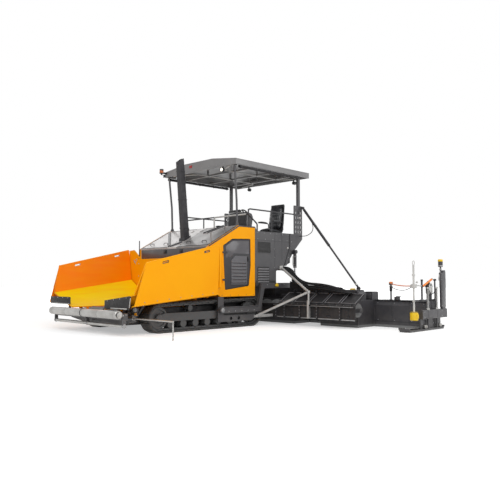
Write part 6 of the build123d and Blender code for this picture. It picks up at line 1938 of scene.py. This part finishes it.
@dataclass
class Screed:
    """Screed: walkway gratings, deck treads, seams, heater boxes, junction blocks and sole bolts."""

    walk: tuple[float, float, float, float] = (-2.9, -2.3, 1.39, 0.645)
    knob: Point = (-2.64, 3.6, 0.94)

    def grating(self, low: Flat, high: Flat, z: float, name: str, body: str) -> None:
        """Lay an open bar grating with a frame.

        Args:
            low: Least X and Y.
            high: Greatest X and Y.
            z: Height of the face that carries it.
            name: The piece's name.
            body: The body that it rides on.
        """
        bars = Stock()
        for x in spread(low[0] + 0.02, high[0] - 0.02, 13):
            bars.slab((x - 0.002, low[1], z), (x + 0.002, high[1], z + 0.01))
        for y in spread(low[1] + 0.02, high[1] - 0.02, max(6, round((high[1] - low[1]) / 0.06))):
            bars.slab((low[0], y - 0.0015, z + 0.003), (high[0], y + 0.0015, z + 0.009))
        for edge in (
            (low, (low[0] + 0.006, high[1])), ((high[0] - 0.006, low[1]), high), (low, (high[0], low[1] + 0.006)),
            ((low[0], high[1] - 0.006), high),
        ):
            bars.slab((*edge[0], z), (*edge[1], z + 0.012))
        bars.finish(name, ZINC, body)

    def main_body(self) -> None:
        """Dress the main screed."""
        x0, x1, half, z = self.walk
        self.grating((x0 + 0.01, -half), (x1 - 0.01, -0.01), z, "walkway_grating_right", "screed")
        self.grating((x0 + 0.01, 0.01), (x1 - 0.01, half), z, "walkway_grating_left", "screed")
        parts = Stock()
        for y in (-1.1, -0.55, 0.0, 0.55, 1.1):
            parts.slab((-1.74, y - 0.003, 0.08), (-1.7365, y + 0.003, 0.48))
        parts.slab((-1.7375, -1.48, 0.13), (-1.734, 1.48, 0.14))
        for y in (-1.35, -0.8, 0.8, 1.35):
            parts.slab((-2.28, y - 0.07, 0.6), (-2.14, y + 0.07, 0.618), 0.004)
        parts.finish("screed_seams", BLACK, "screed")
        (
            Stock()
            .bolts([(-1.74, y, z1) for y in spread(-1.4, 1.4, 9) for z1 in (0.17, 0.45)], AHEAD, 0.01)
            .bolts([(-2.3, y, z1) for y in spread(-0.8, 0.8, 6) for z1 in (0.2, 0.5)], ASTERN, 0.01)
            .bolts([(x, y, 0.64) for x in (-2.27, -1.93) for y in spread(-0.85, 0.85, 6)], UP, 0.009)
            .finish("screed_bolts", ZINC, "screed")
        )
        cabinets = Stock()
        for y0, y1 in ((-1.19, -0.64), (-0.62, -0.02), (0.02, 0.62), (0.64, 1.19)):
            cabinets.slab((-2.22, y0, 0.6), (-1.99, y1, 0.875), 0.014)
            cabinets.slab((-1.992, y0 + 0.03, 0.66), (-1.984, y1 - 0.03, 0.85), 0.004)
            cabinets.slab((-1.984, (y0 + y1) / 2 - 0.04, 0.8), (-1.968, (y0 + y1) / 2 + 0.04, 0.815), 0.004)
            cabinets.slab((-2.205, y0 + 0.02, 0.875), (-2.005, y1 - 0.02, 0.882), 0.003)
        cabinets.finish("screed_cabinets", SCREED, "screed")

    def valves(self, side: Side) -> None:
        """Add the valve block and its ports on one side."""
        box = Stock(side)
        box.slab((-1.96, 0.98, 0.6), (-1.84, 1.2, 0.7), 0.012)
        box.slab((-1.94, 1.0, 0.7), (-1.865, 1.18, 0.707), 0.004)
        box.slab((-2.25, 1.36, 0.6), (-1.86, 1.47, 0.672), 0.01)
        for y in spread(1.02, 1.16, 4):
            box.turned(cap(0.018, 0.012, 0.011, 0.016), (-1.84, y, 0.655), AHEAD, 12)
        box.finish("valve_block", DARK, "screed")

    def extension(self, side: Side) -> None:
        """Dress one extension."""
        seams = Stock(side)
        for y in (2.275, 2.6, 2.95, 3.29):
            seams.slab((-1.74, y - 0.003, 0.075), (-1.7365, y + 0.003, 0.58))
        seams.slab((-1.7375, 2.28, 0.13), (-1.734, 3.295, 0.142))
        for y in (3.34, 3.76, 4.18, 4.58):
            seams.slab((-2.4, y - 0.003, 0.07), (-2.3965, y + 0.003, 0.59))
        seams.slab((-2.3975, 3.31, 0.125), (-2.394, 4.595, 0.137))
        seams.slab((-2.86, 3.31, 0.6), (-2.42, 4.59, 0.604), 0.001)
        seams.finish("extension_seams", BLACK, "extension")
        (
            Stock(side)
            .bolts([(-1.74, y, z) for y in (2.34, 2.66, 3.01, 3.24) for z in (0.16, 0.53)], AHEAD, 0.01)
            .bolts([(-2.4, y, z) for y in (3.4, 3.82, 4.24, 4.52) for z in (0.16, 0.54)], AHEAD, 0.009)
            .bolts([(-2.88, y, z) for y in spread(3.4, 4.5, 4) for z in (0.16, 0.54)], ASTERN, 0.009)
            .bolts([(-2.26, y, 0.66) for y in (2.92, 3.02)], UP, 0.009)
            .finish("extension_bolts", ZINC, "extension")
        )
        boxes = Stock(side)
        boxes.slab((-2.13, 2.79, 0.82), (-1.87, 3.21, 0.832), 0.005)
        boxes.slab((-1.852, 2.86, 0.66), (-1.838, 3.14, 0.79), 0.005)
        boxes.slab((-2.18, 2.4, 0.66), (-1.88, 2.66, 0.672), 0.005)
        for y in spread(2.44, 2.62, 4):
            boxes.turned(cap(0.017, 0.018, 0.01, 0.022), (-1.84, y, 0.632), AHEAD, 12)
            boxes.turned(cap(0.013, 0.02, 0.008, 0.026), (-2.03, y, 0.67), UP, 12)
        boxes.slab((-2.59, 3.09, 0.78), (-2.35, 3.28, 0.79), 0.004)
        boxes.slab((-2.34, 3.12, 0.64), (-2.332, 3.26, 0.75), 0.003)
        boxes.slab((-2.56, 3.78, 0.604), (-2.46, 3.88, 0.68), 0.008)
        boxes.slab((-2.54, 3.81, 0.68), (-2.48, 3.92, 0.695), 0.004)
        boxes.finish("extension_boxes", DARK, "extension")
        x, y, z = self.knob
        (
            Stock(side)
            .turned(
                ((0.041, 0.044), (0.044, 0.05), (0.044, 0.064), (0.034, 0.072), (0.012, 0.074)), (x, y, z), UP, 22
            )
            .finish("knob_cap", GRIP, "extension")
        )
        (
            Stock(side)
            .turned(cap(0.044, 0.044, 0.04, 0.046), (x, y, z), UP, 22)
            .turned(cap(0.05, 0.01, 0.024, 0.014), (x, y, 0.602), UP, 22)
            .slab((x - 0.028, y - 0.025, 0.8), (x + 0.028, y + 0.025, 0.92), 0.006)
            .finish("knob_collar", PLASTIC, "extension")
        )
        (
            Stock(side)
            .turned(cap(0.022, 0.03, 0.012, 0.036), (-2.26, 2.83, 0.82), UP, 16)
            .slab((-2.31, 2.785, 0.8), (-2.19, 2.875, 0.862), 0.012)
            .finish("extension_tabs", YELLOW, "extension")
        )

    def build(self) -> None:
        """Build the screed's pieces."""
        self.main_body()
        for side in Side:
            self.valves(side)
        for side in Side:
            self.extension(side)


@dataclass
class Station(Handed):
    """Side station: pale mast sleeve with a ring, yellow sensor, control box, connectors and orange grip."""

    line_y: float = 4.56
    mast_x: float = -1.91

    def half(self, side: Side) -> None:
        """Build one station."""
        y = self.line_y
        mast = Stock(side)
        mast.tube(((self.mast_x, y, 0.4), (self.mast_x, y, 1.372)), 0.0205, 16)
        ring = [(self.mast_x + 0.042 * c, y, 1.412 + 0.042 * s) for c, s in circle(20)]
        mast.tube(ring, 0.007, 8, closed=True)
        for z in (0.62, 0.905, 1.16):
            mast.turned(collar(0.028, 0.031, 0.018, 0.014), (self.mast_x, y, z), UP, 18)
        mast.finish("mast_sleeve", PALE, "extension", Slot.GREY)
        (
            Stock(side)
            .turned(
                ((0.07, 0.216), (0.084, 0.226), (0.084, 0.37), (0.076, 0.392), (0.03, 0.398)), (self.mast_x, y, 0.0),
                UP, 30,
            )
            .slab((self.mast_x - 0.035, y + 0.07, 0.26), (self.mast_x + 0.035, y + 0.092, 0.35), 0.006)
            .finish("slope_sensor", YELLOW, "extension")
        )
        (
            Stock(side)
            .turned(
                ((0.034, 0.0), (0.04, 0.01), (0.04, 0.05), (0.028, 0.055), (0.028, 0.085), (0.018, 0.09)),
                (self.mast_x - 0.02, y - 0.02, 0.93), (-0.45, -1, 0.0), 18,
            )
            .slab((self.mast_x - 0.07, y - 0.04, 0.885), (self.mast_x + 0.03, y + 0.04, 0.975), 0.012)
            .turned(((0.02, 0.0), (0.024, 0.02), (0.014, 0.04)), (self.mast_x - 0.14, y, 0.99), UP, 16)
            .tube(((self.mast_x, y, 0.95), (-2.245, y, 0.93)), 0.011, 10)
            .finish("mast_connectors", PALE, "extension")
        )
        grip = Stock(side)
        first, last = Vector((-2.262, y, 0.906)), Vector((-2.718, y, 1.075))
        grip.tube((first.lerp(last, 0.04), first.lerp(last, 0.96)), 0.0215, 14)
        grip.finish("station_grip", GRIP, "extension")
        face = 0.0385
        box = Stock(side)
        box.prism(
            ((-2.66, 0.768), (-2.5, 0.768), (-2.5, 0.935), (-2.548, 0.985), (-2.612, 0.985), (-2.66, 0.935)), Axis.Y,
            y + face, y + face + 0.006, 0.002,
        )
        for x, z in ((-2.62, 0.9), (-2.58, 0.9), (-2.54, 0.9), (-2.62, 0.85), (-2.54, 0.85)):
            box.turned(cap(0.009, 0.004, 0.006, 0.006), (x, y + face + 0.006, z), OUT, 12)
        box.finish("control_box_face", PALE, "extension", Slot.GREY)
        keys = Stock(side)
        keys.slab((-2.61, y + face + 0.006, 0.93), (-2.55, y + face + 0.008, 0.965), 0.001)
        for x in (-2.24, -2.28, -2.52):
            keys.turned(
                ((0.012, 0.0), (0.016, 0.008), (0.016, 0.03), (0.01, 0.04)), (x, y, 1.03 if x > -2.4 else 0.99), UP,
                14,
            )
        keys.turned(((0.03, 0.0), (0.034, 0.01), (0.034, 0.03), (0.02, 0.04)), (-2.85, y, 1.04), UP, 18)
        keys.finish("station_knobs", PLASTIC, "extension")
        (
            Stock(side)
            .bolts([(x, y, 0.64) for x in spread(-2.84, -1.96, 6)], UP, 0.009)
            .turned(cap(0.034, 0.01, 0.022, 0.014), (-2.26, y, 0.64), UP, 18)
            .turned(cap(0.03, 0.01, 0.02, 0.014), (-2.85, y, 0.64), UP, 18)
            .finish("station_bolts", ZINC, "extension")
        )


@dataclass
class Gate(Handed):
    """End gate: column caps and bolts, height cylinder with yellow cap, threaded spindles, guides and ski ends."""

    spindle_xs: tuple[float, float] = (-2.7, -2.3)

    def half(self, side: Side) -> None:
        """Build one gate."""
        threads = Stock(side)
        for x in self.spindle_xs:
            for z in spread(0.47, 0.86, 27):
                threads.turned(((0.0242, -0.004), (0.0268, 0.0), (0.0242, 0.004)), (x, 4.67, z), UP, 16)
            threads.turned(cap(0.036, 0.028, 0.03, 0.034), (x, 4.67, 0.43), UP, 6)
            threads.turned(cap(0.034, 0.03, 0.02, 0.034), (x, 4.67, 0.872), UP, 6)
        threads.finish("spindle_threads", STEEL, "gate")
        (
            Stock(side)
            .bolts([(x, 4.69, z) for x in (-3.1, -2.9, -2.12) for z in (0.28, 0.39)], OUT, 0.012)
            .bolts([(x, 4.708, z) for x in (-3.06, -2.883) for z in (0.5, 0.8, 1.07)], OUT, 0.008)
            .bolts([(x, 4.636, 0.14) for x in (-2.85, -2.6, -2.36, -2.1)], OUT, 0.01)
            .finish("gate_bolts", ZINC, "gate")
        )
        (
            Stock(side)
            .prism(
                ((-3.076, 0.46), (-2.875, 0.46), (-2.865, 1.1), (-2.9, 1.19), (-3.0, 1.245), (-3.076, 1.245)),
                Axis.Y, 4.655, 4.708, 0.008,
            )
            .slab((-3.05, 4.708, 0.52), (-2.89, 4.712, 1.08), 0.002)
            .slab((-2.98, 4.69, 0.245), (-2.2, 4.698, 0.262), 0.002)
            .turned(cap(0.033, 0.03, 0.02, 0.036), (-2.92, 4.67, 1.19), (1, 0, 0.2), 18)
            .finish("gate_cover", DARK, "gate")
        )
        (
            Stock(side)
            .turned(
                ((0.052, 0.0), (0.053, 0.01), (0.053, 0.036), (0.046, 0.048), (0.02, 0.05)), (-2.96, 4.646, 1.462),
                UP, 26,
            )
            .finish("gate_cap", YELLOW, "gate")
        )
        (
            Stock(side)
            .turned(collar(0.026, 0.03, 0.012, 0.008), (-2.96, 4.646, 1.29), UP, 18)
            .turned(collar(0.0505, 0.054, 0.01, 0.006), (-2.96, 4.646, 1.365), UP, 24)
            .tube(rounded_path(((-2.99, 4.65, 1.26), (-2.9, 4.65, 1.2), (-2.84, 4.655, 1.05)), 0.06), 0.011, 10)
            .finish("gate_clamps", PALE_STEEL, "gate")
        )
        (
            Stock(side)
            .slab((-2.96, 4.612, 0.002), (-1.48, 4.703, 0.01), 0.002)
            .slab((-2.34, 4.47, 0.055), (-1.5, 4.6, 0.062), 0.002)
            .finish("ski_wear", WORN, "gate")
        )
        foot = Stock(side)
        for x in (-2.86, -2.2):
            foot.slab((x - 0.05, 4.636, 0.045), (x + 0.05, 4.685, 0.115), 0.008)
            foot.turned(cap(0.02, 0.012, 0.012, 0.016), (x, 4.685, 0.08), OUT, 14)
        foot.finish("ski_feet", STEEL, "gate")


@dataclass
class Struts(Handed):
    """Canopy stays and cylinders: eyes, glands, clamps, seal rings and oil ports."""

    lift_x: float = -1.96
    lift_y: float = 1.325
    stay_x: float = -2.29
    stay_top: Flat = (1.32, 2.87)
    stay_foot: Flat = (2.97, 0.86)
    sleeve: float = 1.27

    def half(self, side: Side) -> None:
        """Build one side's stay and lift cylinder fittings."""
        head = Vector((self.stay_x, self.stay_top[0], self.stay_top[1]))
        foot = Vector((self.stay_x, self.stay_foot[0], self.stay_foot[1]))
        along = (foot - head).normalized()
        rings = Stock(side)
        for at in (0.16, 0.62, self.sleeve - 0.015):
            rings.turned(collar(0.03, 0.035, 0.014, 0.01), tuple(head + along * at), tuple(along), 18)
        rings.finish("stay_rings", PLASTIC, "stay_sleeve")
        (
            Stock(side)
            .turned(collar(0.022, 0.026, 0.02, 0.016), tuple(foot - along * 0.12), tuple(along), 16)
            .finish("stay_nut", STEEL, "stay_rod")
        )
        gland = Stock(side)
        y = self.lift_y
        band_r = 0.047
        for z in (1.38, 1.64):
            band = [(self.lift_x + band_r * c, y + side.value * band_r * s, z) for c, s in circle(28)]
            gland.tube(band, 0.005, 8, closed=True)
        for z in (1.43, 1.62):
            gland.turned(
                ((0.015, 0.0), (0.015, 0.024), (0.019, 0.024), (0.019, 0.034), (0.01, 0.036)),
                (self.lift_x + 0.038, y, z), AHEAD, 12,
            )
        gland.tube(
            rounded_path(
                (
                    (self.lift_x + 0.07, y, 1.43), (self.lift_x + 0.09, y, 1.47), (self.lift_x + 0.09, y, 1.58),
                    (self.lift_x + 0.07, y, 1.62),
                ),
                0.03,
            ),
            0.007, 8,
        )
        gland.finish("lift_fittings", STEEL, "lift_barrel")


@dataclass
class Hoses(Handed):
    """Free hoses and cables, each held at both ends and sagging between them."""

    fineness: int = 12

    def line(self, name: str, points: Sequence[Point]) -> tuple[bpy.types.Curve, float]:
        """Draw a smooth line near the points that shape it.

        Args:
            name: The curve's name.
            points: Its run from end to end.

        Returns:
            The curve and its length.
        """
        data = bpy.data.curves.new(name, "CURVE")
        data.dimensions = "3D"
        data.resolution_u = self.fineness
        spline = data.splines.new("NURBS")
        spline.points.add(len(points) - 1)
        for point, at in zip(spline.points, points):
            point.co = (*at, 1.0)
        spline.order_u = 3
        spline.use_endpoint_u = True
        return (data, spline.calc_length())

    def hose(
        self, side: Side, name: str, finish: Finish, body: str, diameter: float, run: Sequence[Point],
        stiffness: str = "medium", lay: str = "loose",
    ) -> None:
        """Hang one hose along the given points.

        Args:
            side: The side that it hangs on.
            name: The piece's name, without its side.
            finish: Its finish.
            body: The body that it rides on, without its side where the body has one.
            diameter: Its outer diameter.
            run: Its run on the left side, from where it leaves the machine to where it goes back in.
            stiffness: How stiff it is; not used.
            lay: How it lies; not used.
        """
        name = f"{name}_{side.word}"
        points = [side.carry(at) for at in run]
        data, length = self.line(name, points)
        data.bevel_depth = diameter / 2
        data.bevel_resolution = 3
        data.use_fill_caps = True
        data.materials.append(finish.material())
        piece = bpy.data.objects.new(name, data)
        bpy.context.scene.collection.objects.link(piece)
        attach(piece, f"{body}_{side.word}" if body in PAIRED_BODIES else body)
        log.info("hose %s, %.3f m long, %.0f mm thick", name, length, diameter * 1000)

    def crossing(self, side: Side, name: str, finish: Finish, diameter: float, run: Sequence[Point]) -> None:
        """Hang one stiff hose from the tractor to the screed, as a mesh on no body.

        Args:
            side: The side that it hangs on.
            name: The piece's name, without its side.
            finish: Its finish.
            diameter: Its outer diameter.
            run: Its run on the left side, from the tractor to the screed.
        """
        name = f"{name}_{side.word}"
        points = [side.carry(at) for at in run]
        data, length = self.line(name + "_line", points)
        guide = bpy.data.objects.new(name + "_line", data)
        bpy.context.scene.collection.objects.link(guide)
        line = bpy.data.meshes.new_from_object(guide.evaluated_get(bpy.context.evaluated_depsgraph_get()))
        path = [tuple(vert.co) for vert in line.vertices]
        bpy.data.objects.remove(guide)
        bpy.data.meshes.remove(line)
        piece = Stock().tube(path, diameter / 2, 14).finish(name, finish, None, Slot.RUBBER, 60.0)
        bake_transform(piece)
        log.info("hose %s, %.3f m long, %.0f mm thick", name, length, diameter * 1000)

    def half(self, side: Side) -> None:
        """Hang the hoses of one side."""
        self.hose(
            side, "stay_cable", HOSE, "tractor", 0.016,
            (
                (-2.22, 1.27, 2.16), (-2.225, 1.36, 2.15), (-2.24, 1.5, 2.16), (-2.262, 1.63, 2.24),
                (-2.268, 1.66, 2.34), (-2.27, 1.645, 2.42), (-2.272, 1.625, 2.475),
            ),
            lay="hanging",
        )
        for number, (x, rise) in enumerate(((-1.64, 0.0), (-1.68, 0.05), (-1.72, 0.0), (-1.76, 0.06))):
            self.crossing(
                side, f"supply_hose_{number}", HOSE, 0.042,
                (
                    (x + 0.02, 1.05, 1.31 + rise), (x + 0.01, 1.17, 1.315 + rise), (x, 1.34, 1.28 + rise),
                    (x - 0.02, 1.46, 1.17 + rise), (x - 0.04, 1.52, 1.03 + rise / 2), (x - 0.06, 1.52, 0.9),
                    (x - 0.08, 1.48, 0.78), (x - 0.09, 1.44, 0.665),
                ),
            )
        for number, (x, lift) in enumerate(
            ((-1.56, 0.0), (-1.59, 0.05), (-1.62, 0.1), (-1.65, 0.04), (-1.67, 0.13))
        ):
            self.hose(
                side, f"auger_hose_{number}", HOSE, "tractor", 0.036,
                (
                    (x + 0.05, 1.29, 1.3 + lift / 3), (x + 0.03, 1.38, 1.28 + lift / 3),
                    (x + 0.01, 1.52, 1.17 + lift / 2), (x, 1.7, 1.0 + lift / 2), (x, 1.95, 0.89 + lift * 0.7),
                    (x, 2.25, 0.865 + lift * 0.8), (x, 2.55, 0.845 + lift * 0.7), (x, 2.85, 0.8 + lift * 0.5),
                    (x, 3.08, 0.775 + lift * 0.3), (x, 3.22, 0.76),
                ),
                stiffness="stiff",
            )
        for number, (x, lift) in enumerate(
            ((-2.16, 0.0), (-2.11, 0.03), (-2.06, 0.01), (-2.01, 0.04), (-1.96, 0.02))
        ):
            self.hose(
                side, f"heater_cable_{number}", HOSE, "extension", 0.026,
                (
                    (x, 2.44, 0.67), (x, 2.44, 0.73), (x - 0.004, 2.46, 0.8 + lift), (x - 0.006, 2.54, 0.845 + lift),
                    (x - 0.004, 2.63, 0.835 + lift), (x - 0.002, 2.68, 0.77 + lift), (x, 2.71, 0.72),
                    (x, 2.755, 0.7),
                ),
            )
        self.hose(
            side, "signal_hose", ORANGE_HOSE, "extension", 0.02,
            (
                (-2.612, 3.6, 0.975), (-2.54, 3.66, 0.973), (-2.4, 3.8, 0.957), (-2.24, 4.02, 0.938),
                (-2.12, 4.22, 0.928), (-2.03, 4.36, 0.929), (-1.968, 4.455, 0.93),
            ),
        )
        self.hose(
            side, "signal_cable", HOSE, "extension", 0.016,
            (
                (-2.618, 3.6, 0.94), (-2.55, 3.65, 0.925), (-2.42, 3.78, 0.875), (-2.26, 4.0, 0.835),
                (-2.14, 4.2, 0.832), (-2.04, 4.36, 0.862), (-1.965, 4.475, 0.905),
            ),
            stiffness="limp",
        )
        self.hose(
            side, "box_cable", HOSE, "extension", 0.016,
            (
                (-2.3, 4.6, 0.93), (-2.33, 4.63, 0.915), (-2.4, 4.645, 0.84), (-2.47, 4.648, 0.775),
                (-2.55, 4.648, 0.745), (-2.63, 4.645, 0.78), (-2.7, 4.64, 0.86), (-2.76, 4.61, 0.95),
                (-2.8, 4.585, 0.99), (-2.835, 4.566, 1.01),
            ),
            stiffness="limp", lay="hanging",
        )


# The whole machine.


def dress_nodes() -> None:
    """Give every other CAD node its finish."""
    repaint(WING_LEFT, "hopper_wing_left")
    repaint(WING_RIGHT, "hopper_wing_right")
    repaint(DARK, "chassis", "front_crossmember", "push_beam", "platform", "rear_frames", "canopy_posts", "tow_arms")
    repaint(SCREED, "main_screed", *pair("screed_extension"), *pair("end_gate"))
    repaint(PLATE, "limiting_plates")
    repaint(ROOF, "canopy")
    repaint(BLACK, "handrails", *pair("lift_barrel"), *pair("wing_barrel"), *pair("side_station"))
    repaint(STEEL, *pair("push_roller"), "push_bar", "wing_hinge_rods", "steering_guide")
    repaint(STACK, *pair("stay_rod"), *pair("stay_sleeve"))
    repaint(PALE_STEEL, "auger_braces")
    repaint(CHROME, *pair("lift_rod"), *pair("wing_rod"))
    repaint(WORN, "slat_conveyors", "main_screed_sole", *pair("extension_sole"), *pair("auger"), "engine_block")
    repaint(TRACK, "tracks")
    repaint(RUBBER, *pair("wing_flap"), "curtain_rolls")
    repaint(PLASTIC, "work_lamps", "operator_console", "seats")


def main() -> None:
    """Build every class in order and report each piece."""
    logging.basicConfig(level=logging.INFO, format="%(message)s")
    Studio().build()
    dress_nodes()
    Tracks().build()
    Door().build()
    Hood().build()
    Stack().build()
    Hopper().build()
    Front().build()
    TowGear().build()
    Platform().build()
    Roof().build()
    Seats().build()
    Console().build()
    AugerDrive().build()
    Screed().build()
    Station().build()
    Gate().build()
    Struts().build()
    Hoses().build()


if __name__ == "__main__":
    main()
